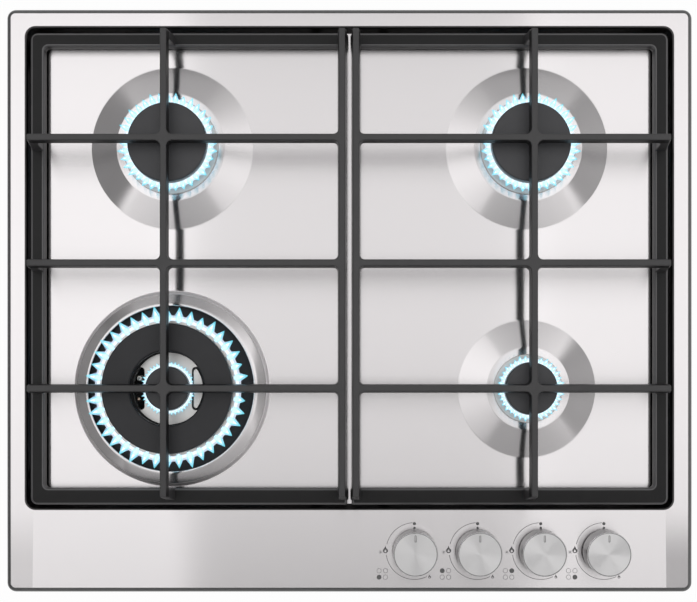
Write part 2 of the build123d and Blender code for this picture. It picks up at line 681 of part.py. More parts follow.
def make_pipe(x, *turns, burner):
    """Feed pipe from a tap's outlet to the front face of a burner's holder."""
    bx, by = burner
    points = [(x + OUTLET_DX, TAP_FACE_Y + NUT_L), *turns, (bx, by - HOLDER_W / 2)]
    path = Polyline([(px, py, GAS_Z) for px, py in points])
    section = Plane(origin=path @ 0, z_dir=(0, 1, 0)) * RegularPolygon(PIPE_AF / 2, 8, major_radius=False)
    return sweep(section, path, transition=Transition.RIGHT)


def make_supply():
    bore = prism(SUPPLY_BORE_AF, 8, RAIL_FACE_Y, INLET_WALL_Y)
    end = INLET_WALL_Y - INLET_SOCKET + INLET_SOCKET_DEPTH
    return along_y(INLET_X, RAIL_Z, prism(SUPPLY_AF, 8, RAIL_FACE_Y, end) - bore)


def make_inlet():
    """Inlet fitting: socket through the notch's wall, hexagon, and the male connection."""
    hex_end = INLET_WALL_Y + INLET_HEX
    start = INLET_WALL_Y - INLET_SOCKET
    inlet = prism(INLET_SOCKET_AF, 8, start, INLET_WALL_Y) + prism(INLET_AF, 6, INLET_WALL_Y, hex_end)
    inlet += rod(INLET_R, hex_end, hex_end + INLET_L)
    inlet -= prism(SUPPLY_AF + 2 * RAIL_FIT, 8, start, start + INLET_SOCKET_DEPTH)
    return along_y(INLET_X, RAIL_Z, inlet - prism(SUPPLY_BORE_AF, 8, start, hex_end + INLET_L))


K1, K2, K3, K4 = [x + OUTLET_DX for x in KNOB_XS]
BEND_Y = TAP_FACE_Y + 2 * NUT_L
RUN_IN = 38.0               # straight run into a holder, from the burner's axis
save("gas_rail", make_rail())
save("rail_brackets", *[make_rail_bracket(KNOB_XS[i] + KNOB_PITCH / 2) for i in (0, 2)])
save("gas_taps", *[make_tap(x) for x in KNOB_XS])
save("tap_switches", *[make_switch(x) for x in KNOB_XS])
save("tap_switch_lead", make_switch_lead())
save(
    "feed_pipes",
    make_pipe(KNOB_XS[0], (K1, BEND_Y), (-BURNER_X, FRONT_Y - RUN_IN), burner=(-BURNER_X, FRONT_Y)),
    make_pipe(KNOB_XS[1], (K2, BEND_Y), (-BURNER_X, REAR_Y - RUN_IN), burner=(-BURNER_X, REAR_Y)),
    make_pipe(KNOB_XS[2], (K3, BEND_Y), (BURNER_X - PIPE_ROUND, FRONT_Y), (BURNER_X, REAR_Y - RUN_IN),
              burner=(BURNER_X, REAR_Y)),
    make_pipe(KNOB_XS[3], (K4, BEND_Y), (BURNER_X, FRONT_Y - RUN_IN), burner=(BURNER_X, FRONT_Y)),
)
save("supply_pipe", make_supply())
save("gas_inlet", make_inlet())


# ---- ignition module, terminal block, mains cable and its grommet ----
def make_module():
    x0, y0 = MODULE_X - MODULE_W / 2, MODULE_Y - MODULE_D / 2
    return block(x0, x0 + MODULE_W, y0, y0 + MODULE_D, SHEET, SHEET + MODULE_H)


def make_terminal():
    x0, y0 = TERMINAL_X - TERMINAL_W / 2, TERMINAL_Y - TERMINAL_D / 2
    return block(x0, x0 + TERMINAL_W, y0, y0 + TERMINAL_D, SHEET, SHEET + TERMINAL_H)


def make_grommet():
    wall = BOX_D / 2
    grommet = prism(GROMMET_AF, 8, wall - GROMMET_L, wall)
    grommet += prism(GROMMET_AF + 2 * GROMMET_FLANGE, 8, wall, wall + GROMMET_T)
    return along_y(TERMINAL_X, GROMMET_Z, grommet - prism(GROMMET_BORE_AF, 8, 0, BOX_D))


def make_mains():
    """Cable from the grommet down to the terminal block, and a lead on to the module."""
    half, z = CABLE_W / 2, SHEET + TERMINAL_H / 2
    rear = TERMINAL_Y + TERMINAL_D / 2
    turn_y = BOX_D / 2 - GROMMET_L - CABLE_W
    points = [(TERMINAL_X, BOX_D / 2 + GROMMET_T - half, GROMMET_Z), (TERMINAL_X, turn_y, GROMMET_Z)]
    points += [(TERMINAL_X, turn_y, z), (TERMINAL_X, rear + half, z)]
    front = TERMINAL_Y - TERMINAL_D / 2 - LEAD_W / 2
    lead_x, lead_z = TERMINAL_X, SHEET + TERMINAL_H - TERMINAL_LEAD_DROP
    lead = make_lead((lead_x, front, lead_z), (lead_x, MODULE_REAR + LEAD_W / 2, lead_z))
    return make_lead(*points, width=CABLE_W), lead


save("ignition_module", make_module())
save("terminal_block", make_terminal())
save("cable_grommet", make_grommet())
save("mains_leads", *make_mains())


# ---- tap plungers, spindles and knobs ----
def make_plunger():
    return post(0, 0, PLUNGER_W, SPINDLE_LOW - PLUNGER_H, SPINDLE_LOW)


def make_spindle():
    """Round in the tap, square in the knob."""
    shoulder = KNOB_LOW - SHOULDER_GAP
    top = KNOB_LOW + KNOB_SOCKET - SOCKET_END_GAP
    return drum(SPINDLE_R, SPINDLE_LOW, shoulder) + post(0, 0, SPINDLE_SQUARE, shoulder, top)


def make_knob():
    socket = post(0, 0, SPINDLE_SQUARE + 2 * SOCKET_FIT, KNOB_LOW - 1, KNOB_LOW + KNOB_SOCKET)
    return bevelled(KNOB_R, KNOB_LOW, RIM_Z + KNOB_TOP, KNOB_BEVEL) - socket


for i, x in enumerate(KNOB_XS, 1):
    place = Pos(x, KNOB_Y, 0)
    save(f"tap_plunger_{i}", place * make_plunger())
    save(f"spindle_{i}", place * make_spindle())
    save(f"knob_{i}", place * make_knob())


# ---- pan supports ----
def make_bar(x0, x1, y0, y1):
    """A drafted bar; its sizes are those of its top face."""
    width, depth = x1 - x0 + 2 * BAR_FLARE, y1 - y0 + 2 * BAR_FLARE
    foot = Pos((x0 + x1) / 2, (y0 + y1) / 2, BAR_LOW) * Rectangle(width, depth)
    return extrude(foot, BAR_DEPTH, taper=BAR_DRAFT)


def make_gusset(x, y):
    """Fills the four corners between two crossing bars."""
    side = (BAR_W + 2 * BAR_FLARE + BAR_GUSSET) * sqrt(2)
    return extrude(Pos(x, y, BAR_LOW) * Rot(0, 0, 45) * Rectangle(side, side), BAR_DEPTH, taper=BAR_DRAFT)


def make_leg():
    """A leg from the frame up to a bar's end; +X runs inward from the frame's outside."""
    low, top = FRAME_TOP - FRAME_EDGE, BAR_LOW + 1
    bar_end = BAR_INSET - BAR_FLARE
    outline = Polygon((FRAME_EDGE, FRAME_Z), (FRAME_EDGE, low), (bar_end, BAR_LOW), (bar_end, top),
                      (bar_end + LEG_TOP, top), (FRAME_W - FRAME_EDGE, low), (FRAME_W - FRAME_EDGE, FRAME_Z),
                      align=None)
    return extrude(Plane.XZ * outline, LEG_W / 2, both=True)


def make_frame():
    """Low frame, open on the side at the middle of the cooktop."""
    inner = MID_BAR_X - BAR_W / 2 - BAR_FLARE
    width = 2 * SUPPORT_X
    outline = RectangleRounded(width, SUPPORT_D, FRAME_CORNER)
    outline -= Rectangle(width - 2 * FRAME_W, SUPPORT_D - 2 * FRAME_W)
    outline -= Pos(-inner, 0) * Rectangle(width, SUPPORT_D * 2, align=(Align.MIN, Align.CENTER))
    frame = extrude(outline, FRAME_H)
    frame = chamfer(frame.edges().group_by(Axis.Z)[-1], FRAME_EDGE)
    return Pos(0, WELL_Y, FRAME_Z) * frame


def make_support():
    """The left casting: low frame, five bars, seven legs."""
    y0, y1 = WELL_Y - SUPPORT_D / 2, WELL_Y + SUPPORT_D / 2
    leg = make_leg()
    casting = make_frame()
    for x in (-BURNER_X, -MID_BAR_X):
        casting += make_bar(x - BAR_W / 2, x + BAR_W / 2, y0 + BAR_INSET, y1 - BAR_INSET)
        casting += Pos(x, y0, 0) * Rot(0, 0, 90) * leg
        casting += Pos(x, y1, 0) * Rot(0, 0, -90) * leg
    for y in (REAR_Y, WELL_Y, FRONT_Y):
        casting += make_bar(-SUPPORT_X + BAR_INSET, -MID_BAR_X, y - BAR_W / 2, y + BAR_W / 2)
        casting += Pos(-SUPPORT_X, y, 0) * leg + make_gusset(-BURNER_X, y)
        casting += make_gusset(-MID_BAR_X, y) & block(-BURNER_X, -MID_BAR_X, y0, y1, 0, BAR_Z)
    return casting


def make_feet():
    """Rubber pads under the left casting."""
    edge = FRAME_W / 2
    half = SUPPORT_D / 2
    places = [(-SUPPORT_X + edge, side * (half - PAD_Y)) for side in (-1, 1)]
    places += [(-PAD_X, side * (half - edge)) for side in (-1, 1)]
    return [post(x, WELL_Y + y, PAD_W, FLOOR_Z, FRAME_Z) for x, y in places]


support = make_support()
feet = make_feet()
save("left_pan_support", support)
save("right_pan_support", mirror(support, Plane.YZ))
save("left_support_feet", *feet)
save("right_support_feet", *[mirror(foot, Plane.YZ) for foot in feet])
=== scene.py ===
import json
from math import asin, atan2, cos, hypot, pi, radians, sin, tan

import bmesh
import bpy
from bpy.props import FloatProperty, FloatVectorProperty, IntProperty, PointerProperty
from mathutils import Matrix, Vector
from mathutils.geometry import delaunay_2d_cdt


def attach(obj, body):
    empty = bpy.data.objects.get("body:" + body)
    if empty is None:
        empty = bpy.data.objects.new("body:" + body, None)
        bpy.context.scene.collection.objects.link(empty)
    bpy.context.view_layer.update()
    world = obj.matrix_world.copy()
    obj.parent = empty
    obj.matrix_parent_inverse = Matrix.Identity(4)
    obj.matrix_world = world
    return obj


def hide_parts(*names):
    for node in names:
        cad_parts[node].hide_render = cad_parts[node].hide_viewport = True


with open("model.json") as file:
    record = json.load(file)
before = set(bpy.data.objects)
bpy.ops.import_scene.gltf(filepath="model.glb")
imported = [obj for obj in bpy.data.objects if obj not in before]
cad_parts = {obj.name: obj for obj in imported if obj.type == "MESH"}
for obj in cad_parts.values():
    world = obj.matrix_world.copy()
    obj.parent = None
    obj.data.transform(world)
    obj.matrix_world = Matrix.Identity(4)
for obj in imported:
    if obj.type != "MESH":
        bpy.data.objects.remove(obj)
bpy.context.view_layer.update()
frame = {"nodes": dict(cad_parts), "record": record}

bl_info = {
    "name": "Gas cooktop",
    "version": (1, 0, 0),
    "blender": (4, 5, 0),
    "location": "3D View > Sidebar > Cooktop",
    "description": "Dresses the packed frame of a built-in gas cooktop",
    "category": "Object",
}

# Places of the frame in millimetres. The same axes as the frame: +Z up, +X right, +Y to the rear.
RIM_Z = 52.0
FLOOR_Z = 46.0
CONE_Z = 54.0
SEAT_Z = 56.0
CAP_Z = 69.5
DISH_Z = 63.5
WELL_Y = 28.4
BURNER_X = 155.8
REAR_Y = 133.8
FRONT_Y = -77.0
KNOB_Y = -219.0
KNOB_XS = [56.8, 112.0, 167.2, 222.4]
BURNERS = {
    "rear_left": dict(x=-BURNER_X, y=REAR_Y, foot=71.0, top=47.0, hole=40.0, crown=32.0, cap=34.0, ports=36,
                      probe=37.0, turn=11.0),
    "rear_right": dict(x=BURNER_X, y=REAR_Y, foot=71.0, top=47.0, hole=40.0, crown=32.0, cap=34.0, ports=36,
                       probe=37.0, turn=11.0),
    "front_right": dict(x=BURNER_X, y=FRONT_Y, foot=60.5, top=36.0, hole=28.5, crown=20.5, cap=22.5, ports=36,
                        probe=25.5, turn=0.0),
}
WOK = dict(x=-BURNER_X, y=FRONT_Y, foot=85.0, top=74.0, hole=72.0)
WOK_PROBES = [(-BURNER_X - 26.0, FRONT_Y + 9.0), (-BURNER_X - 26.0, FRONT_Y - 9.0)]


# ---- settings a user would change ----
def size(name, text, default):
    return FloatProperty(name=name, description=text, default=default, min=0.0, unit="LENGTH")


def tint(name, text, default):
    return FloatVectorProperty(name=name, description=text, default=default, min=0.0, max=1.0, size=3,
                               subtype="COLOR")


class CooktopPlateSettings(bpy.types.PropertyGroup):
    roll: size("Edge roll", "Radius of the plate's rolled outer edge", 0.004)
    bend: size("Well bend", "Radius of the bend into the well", 0.0022)
    cone_bend: size("Cone bend", "Radius of the bends at a burner's cone", 0.005)
    strip_drop: size("Side strip drop", "How far the front panel's side strips fall to the edge", 0.0005)
    steel: tint("Steel", "Colour of the brushed steel", (0.645, 0.622, 0.628))
    # Painted shade: the rolled edge's steel is a darker copy of the sheet, standing for the dark the roll reflects
    edge: tint("Edge", "Colour of the steel at the rolled edge", (0.14, 0.14, 0.14))


class CooktopSupportSettings(bpy.types.PropertyGroup):
    crossing: size("Crossing radius", "Radius between two crossing bars", 0.0048)
    bar_edge: size("Bar edge", "Rounding of a bar's upper edges", 0.0009)
    frame_edge: size("Frame edge", "Rounding of the frame's upper edges", 0.0018)
    enamel: tint("Enamel", "Colour of the enamel on the casting", (0.026, 0.025, 0.026))
    rubber: tint("Pads", "Colour of the pads under the casting", (0.012, 0.012, 0.012))


class CooktopBurnerSettings(bpy.types.PropertyGroup):
    cap_edge: size("Cap edge", "Rounding of a cap's upper edge", 0.0016)
    cap_crown: size("Cap crown", "How far a cap's middle stands over its edge", 0.0003)
    alloy: tint("Alloy", "Colour of the burners' cast alloy", (0.53, 0.525, 0.517))
    cap: tint("Cap enamel", "Colour of the caps' enamel", (0.030, 0.030, 0.033))
    ceramic: tint("Ceramic", "Colour of the electrodes' ceramic", (0.82, 0.80, 0.75))


class CooktopFlameSettings(bpy.types.PropertyGroup):
    small: size("Small jet", "Reach of a small burner's jets", 0.0084)
    little: size("Front right jet", "Reach of the front right burner's jets", 0.0056)
    outer: size("Wok outer jet", "Reach of the wok burner's outer jets", 0.0122)
    inner: size("Wok inner jet", "Reach of the wok burner's inner jets", 0.0040)
    core: tint("Core", "Colour of a jet's white core", (0.90, 0.99, 1.0))
    body: tint("Body", "Colour of a jet's body", (0.20, 0.68, 0.80))
    veil: tint("Veil", "Colour of a jet's faint outer part", (0.66, 0.74, 0.97))
    base: tint("Base", "Colour of the ring where the jets join", (0.86, 0.95, 1.0))
    haze: tint("Haze", "Colour of the faint ring under the jets", (0.82, 0.88, 0.98))


class CooktopKnobSettings(bpy.types.PropertyGroup):
    groove: size("Groove radius", "Radius of the thin groove in a knob's face", 0.0183)
    metal: tint("Knob metal", "Colour of the knobs", (0.70, 0.69, 0.692))
    print: tint("Marks", "Colour of the printed dial marks", (0.10, 0.10, 0.10))


class CooktopStageSettings(bpy.types.PropertyGroup):
    camera_height: size("Camera height", "Camera's height over the plate's rim", 1.0)
    lens: FloatProperty(name="Lens", description="Focal length of the camera in millimetres", default=59.09,
                        min=1.0)
    key: FloatProperty(name="Key", description="Strength of the soft lamp overhead", default=1.0, min=0.0)
    boxes: FloatProperty(name="Side boxes", description="Brightness of the two side boxes", default=0.55,
                         min=0.0)
    top: FloatProperty(name="Top box", description="Brightness of the box over the middle", default=0.32, min=0.0)


GROUPS = {
    "cooktop_plate": CooktopPlateSettings,
    "cooktop_support": CooktopSupportSettings,
    "cooktop_burner": CooktopBurnerSettings,
    "cooktop_flame": CooktopFlameSettings,
    "cooktop_knob": CooktopKnobSettings,
    "cooktop_stage": CooktopStageSettings,
}


# ---- outlines, in millimetres ----
def circle(radius, z, sides, x=0.0, y=0.0):
    return [(x + radius * cos(2 * pi * k / sides), y + radius * sin(2 * pi * k / sides), z)
            for k in range(sides)]


def corner_arc(corner, before, after, radius, steps):
    """Points that round a square corner between two neighbours."""
    p = Vector(corner)
    into = (p - Vector(before)).normalized()
    out = (Vector(after) - p).normalized()
    centre = p - into * radius + out * radius
    points = []
    for k in range(steps + 1):
        a = pi / 2 * k / steps
        points.append(centre - out * (radius * cos(a)) + into * (radius * sin(a)))
    return points


def rounded_path(corners, radii, steps=6):
    """A closed outline of square corners, each rounded by its own radius."""
    path = []
    count = len(corners)
    for k in range(count):
        path += corner_arc(corners[k], corners[k - 1], corners[(k + 1) % count], radii[k], steps)
    return [(p.x, p.y) for p in path]


def rectangle(x0, x1, y0, y1):
    return [(x0, y0), (x1, y0), (x1, y1), (x0, y1)]


def rounded_rectangle(x0, x1, y0, y1, radius, steps=6):
    return rounded_path(rectangle(x0, x1, y0, y1), [radius] * 4, steps)


class Shell:
    """Points and faces of one piece, gathered loop by loop, in millimetres."""

    def __init__(self):
        self.points = []
        self.faces = []
        self.finishes = []
        self.finish = 0

    def face(self, corners):
        self.faces.append(tuple(corners))
        self.finishes.append(self.finish)

    def loop(self, points):
        start = len(self.points)
        self.points += [tuple(p) for p in points]
        return list(range(start, len(self.points)))

    def strip(self, a, b, closed=True):
        for i in range(len(a) if closed else len(a) - 1):
            j = (i + 1) % len(a)
            self.face((a[i], a[j], b[j], b[i]))

    def stack(self, loops):
        """Joins loops of equal count one after another."""
        rings = [self.loop(points) for points in loops]
        for a, b in zip(rings, rings[1:]):
            self.strip(a, b)
        return rings

    def fill(self, outer, holes=(), lines=()):
        """Fills a level outline with holes; lines are pairs of points to keep as edges."""
        rings = [outer, *holes]
        index = [i for ring in rings for i in ring]
        flat = [Vector(self.points[i][:2]) for i in index]
        edges, at = [], 0
        for ring in rings:
            edges += [(at + k, at + (k + 1) % len(ring)) for k in range(len(ring))]
            at += len(ring)
        place = {i: k for k, i in enumerate(index)}
        edges += [(place[a], place[b]) for a, b in lines]
        points, _, faces, sources, _, _ = delaunay_2d_cdt(flat, edges, [], 0, 1e-6)
        outlines = [[Vector(self.points[i][:2]) for i in ring] for ring in rings]
        for face in faces:
            middle = sum((points[k] for k in face), Vector((0, 0))) / len(face)
            if inside(middle, outlines[0]) and not any(inside(middle, hole) for hole in outlines[1:]):
                self.face([index[sources[k][0]] for k in face])

    def lathe(self, profile, sides, x=0.0, y=0.0, closed=False):
        """Turns a profile of (radius, height); a radius of 0 closes to a point."""
        rings = []
        for r, z in profile:
            rings.append(self.loop([(x, y, z)]) if r == 0 else self.loop(circle(r, z, sides, x, y)))
        pairs = list(zip(rings, rings[1:]))
        if closed:
            pairs.append((rings[-1], rings[0]))
        for a, b in pairs:
            if len(a) == 1 or len(b) == 1:
                tip, ring = (a, b) if len(a) == 1 else (b, a)
                for i in range(len(ring)):
                    self.face((ring[i], ring[(i + 1) % len(ring)], tip[0]))
            else:
                self.strip(a, b)
        return rings


def inside(point, outline):
    """Whether a flat point lies inside an outline."""
    hit = False
    for k in range(len(outline)):
        a, b = outline[k - 1], outline[k]
        if (a.y > point.y) != (b.y > point.y):
            if point.x < a.x + (point.y - a.y) / (b.y - a.y) * (b.x - a.x):
                hit = not hit
    return hit


def arc(r_centre, z_centre, radius, start, end, steps):
    """Profile points of an arc; angles in degrees from +radius towards +height."""
    points = []
    for k in range(steps + 1):
        a = radians(start + (end - start) * k / steps)
        points.append((r_centre + radius * cos(a), z_centre + radius * sin(a)))
    return points


def piece(name, shell, body, finishes, origin=(0, 0, 0), smooth=40, closed=True, replaces=()):
    """Makes a Blender object from a shell and lets it ride on a body."""
    mesh = bpy.data.meshes.new(name)
    start = Vector(origin)
    mesh.from_pydata([(Vector(p) - start) / 1000 for p in shell.points], [], shell.faces)
    for finish in finishes:
        mesh.materials.append(finish)
    mesh.polygons.foreach_set("material_index", shell.finishes)
    work = bmesh.new()
    work.from_mesh(mesh)
    bmesh.ops.remove_doubles(work, verts=work.verts, dist=1e-7)
    if closed:
        bmesh.ops.recalc_face_normals(work, faces=work.faces)
    work.to_mesh(mesh)
    work.free()
    mesh.polygons.foreach_set("use_smooth", [True] * len(mesh.polygons))
    mesh.set_sharp_from_angle(angle=radians(smooth))
    obj = bpy.data.objects.new(name, mesh)
    bpy.context.scene.collection.objects.link(obj)
    obj.location = start / 1000
    weighted = obj.modifiers.new("even shading", "WEIGHTED_NORMAL")
    weighted.keep_sharp = True
    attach(obj, body)
    if replaces:
        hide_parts(*replaces)
    return obj


# ---- finishes ----
FINISHES = {}


class Finish:
    """A material built from nodes."""

    def __init__(self, name):
        self.material = bpy.data.materials.new(name)
        self.material.use_nodes = True
        self.tree = self.material.node_tree
        self.shader = self.tree.nodes["Principled BSDF"]

    def add(self, kind, **values):
        node = self.tree.nodes.new(kind)
        for key, value in values.items():
            setattr(node, key, value)
        return node

    def link(self, source, target):
        self.tree.links.new(source, target)

    def set(self, **values):
        for key, value in values.items():
            self.shader.inputs[key.replace("_", " ")].default_value = value

    def place(self, scale=(1, 1, 1)):
        """The piece's own coordinates, stretched by a scale."""
        where = self.add("ShaderNodeTexCoord")
        stretch = self.add("ShaderNodeMapping")
        stretch.inputs["Scale"].default_value = scale
        self.link(where.outputs["Object"], stretch.inputs["Vector"])
        return stretch.outputs["Vector"]

    def noise(self, scale, vector, detail=3.0):
        node = self.add("ShaderNodeTexNoise")
        node.inputs["Scale"].default_value = scale
        node.inputs["Detail"].default_value = detail
        self.link(vector, node.inputs["Vector"])
        return node.outputs["Fac"]

    def spread(self, value, low, high):
        """Maps a texture's 0.3 to 0.7 to a range."""
        node = self.add("ShaderNodeMapRange")
        node.inputs["From Min"].default_value = 0.3
        node.inputs["From Max"].default_value = 0.7
        node.inputs["To Min"].default_value = low
        node.inputs["To Max"].default_value = high
        self.link(value, node.inputs["Value"])
        return node.outputs["Result"]

    def mix(self, factor, a, b):
        node = self.add("ShaderNodeMix", data_type="RGBA")
        node.inputs["A"].default_value = (*a, 1)
        node.inputs["B"].default_value = (*b, 1)
        self.link(factor, node.inputs["Factor"])
        return node.outputs["Result"]

    def paint_shade_along_y(self, colour, low, start, end):
        """Paints shade: darkens a colour by a factor along the piece's Y, from one height to another."""
        along = self.add("ShaderNodeSeparateXYZ")
        self.link(self.place(), along.inputs["Vector"])
        share = self.add("ShaderNodeMapRange", interpolation_type="SMOOTHSTEP")
        share.inputs["From Min"].default_value = start
        share.inputs["From Max"].default_value = end
        self.link(along.outputs["Y"], share.inputs["Value"])
        node = self.add("ShaderNodeMix", data_type="RGBA", blend_type="MULTIPLY")
        self.link(share.outputs["Result"], node.inputs["Factor"])
        self.link(colour, node.inputs["A"])
        node.inputs["B"].default_value = (low, low, low, 1)
        return node.outputs["Result"]

    def colour(self, value):
        self.link(value, self.shader.inputs["Base Color"])

    def bump(self, height, strength, distance):
        node = self.add("ShaderNodeBump")
        node.inputs["Strength"].default_value = strength
        node.inputs["Distance"].default_value = distance
        self.link(height, node.inputs["Height"])
        self.link(node.outputs["Normal"], self.shader.inputs["Normal"])

    def tangent(self, vector):
        self.link(vector, self.shader.inputs["Tangent"])


def shade(colour, factor):
    return tuple(min(1.0, c * factor) for c in colour)


def brushed(name, colour, roughness, grain, direction, anisotropy=0.75, contrast=0.05, depth=0.04, low=1.0):
    """Metal brushed along one axis: fine streaks and a reflection drawn out across them; a low under 1 paints shade
    towards the front.
    """
    f = Finish(name)
    vector = f.place(grain)
    streaks = f.noise(1.0, vector, 6.0)
    tone = f.mix(f.spread(streaks, 0.0, 1.0), shade(colour, 1 - contrast), shade(colour, 1 + contrast))
    # Below a low of 1 the colour is painted shade, darkening towards the front along Y
    f.colour(tone if low == 1.0 else f.paint_shade_along_y(tone, low, -0.176, -0.23))
    f.link(f.spread(streaks, roughness * (1 - 2 * contrast), roughness * (1 + 2 * contrast)),
           f.shader.inputs["Roughness"])
    f.set(Metallic=1.0, Anisotropic=anisotropy)
    across = f.add("ShaderNodeCombineXYZ")
    for axis, value in zip("XYZ", direction):
        across.inputs[axis].default_value = value
    f.tangent(across.outputs["Vector"])
    f.bump(streaks, depth, 0.0002)
    return f.material


def speckled(name, colour, roughness, metallic=0.0, scale=900.0, strength=0.1, depth=0.0002, contrast=0.08,
             specular=0.5):
    """A cast, moulded or enamelled surface with fine even grain."""
    f = Finish(name)
    vector = f.place()
    grain = f.noise(scale, vector, 4.0)
    broad = f.noise(scale / 25, vector, 2.0)
    f.colour(f.mix(f.spread(broad, 0.0, 1.0), shade(colour, 1 - contrast), shade(colour, 1 + contrast)))
    f.link(f.spread(grain, roughness * 0.92, roughness * 1.08), f.shader.inputs["Roughness"])
    f.set(Metallic=metallic)
    f.shader.inputs["Specular IOR Level"].default_value = specular
    f.bump(grain, strength, depth)
    return f.material


def zinc(name, colour):
    """Galvanised sheet with soft spangles."""
    f = Finish(name)
    cells = f.add("ShaderNodeTexVoronoi")
    cells.inputs["Scale"].default_value = 210.0
    f.link(f.place(), cells.inputs["Vector"])
    f.colour(f.mix(cells.outputs["Distance"], shade(colour, 1.03), shade(colour, 0.93)))
    f.link(f.spread(cells.outputs["Distance"], 0.38, 0.5), f.shader.inputs["Roughness"])
    f.set(Metallic=0.9)
    f.bump(f.noise(700.0, f.place()), 0.05, 0.0002)
    return f.material


def spun(name, colour, roughness, anisotropy=0.85):
    """A turned face: fine rings and a reflection drawn out from the middle."""
    f = Finish(name)
    where = f.add("ShaderNodeTexCoord")
    rings = f.add("ShaderNodeTexWave", wave_type="RINGS", rings_direction="Z")
    rings.inputs["Scale"].default_value = 900.0
    rings.inputs["Distortion"].default_value = 1.5
    rings.inputs["Detail"].default_value = 2.0
    f.link(where.outputs["Object"], rings.inputs["Vector"])
    f.colour(f.mix(rings.outputs["Fac"], shade(colour, 0.96), shade(colour, 1.04)))
    f.set(Metallic=1.0, Roughness=roughness, Anisotropic=anisotropy)
    away = f.add("ShaderNodeVectorMath", operation="MULTIPLY")
    away.inputs[1].default_value = (1, 1, 0)
    f.link(where.outputs["Object"], away.inputs[0])
    unit = f.add("ShaderNodeVectorMath", operation="NORMALIZE")
    f.link(away.outputs["Vector"], unit.inputs[0])
    f.tangent(unit.outputs["Vector"])
    return f.material


def glowing(name, colour, strength, alpha):
    """A flame's thin, bright gas."""
    f = Finish(name)
    vector = f.place()
    f.colour(f.mix(f.noise(300.0, vector), shade(colour, 0.5), shade(colour, 0.6)))
    f.shader.inputs["Emission Color"].default_value = (*colour, 1)
    f.shader.inputs["Emission Strength"].default_value = strength
    f.set(Roughness=1.0, Alpha=alpha)
    f.shader.inputs["Specular IOR Level"].default_value = 0.0
    return f.material


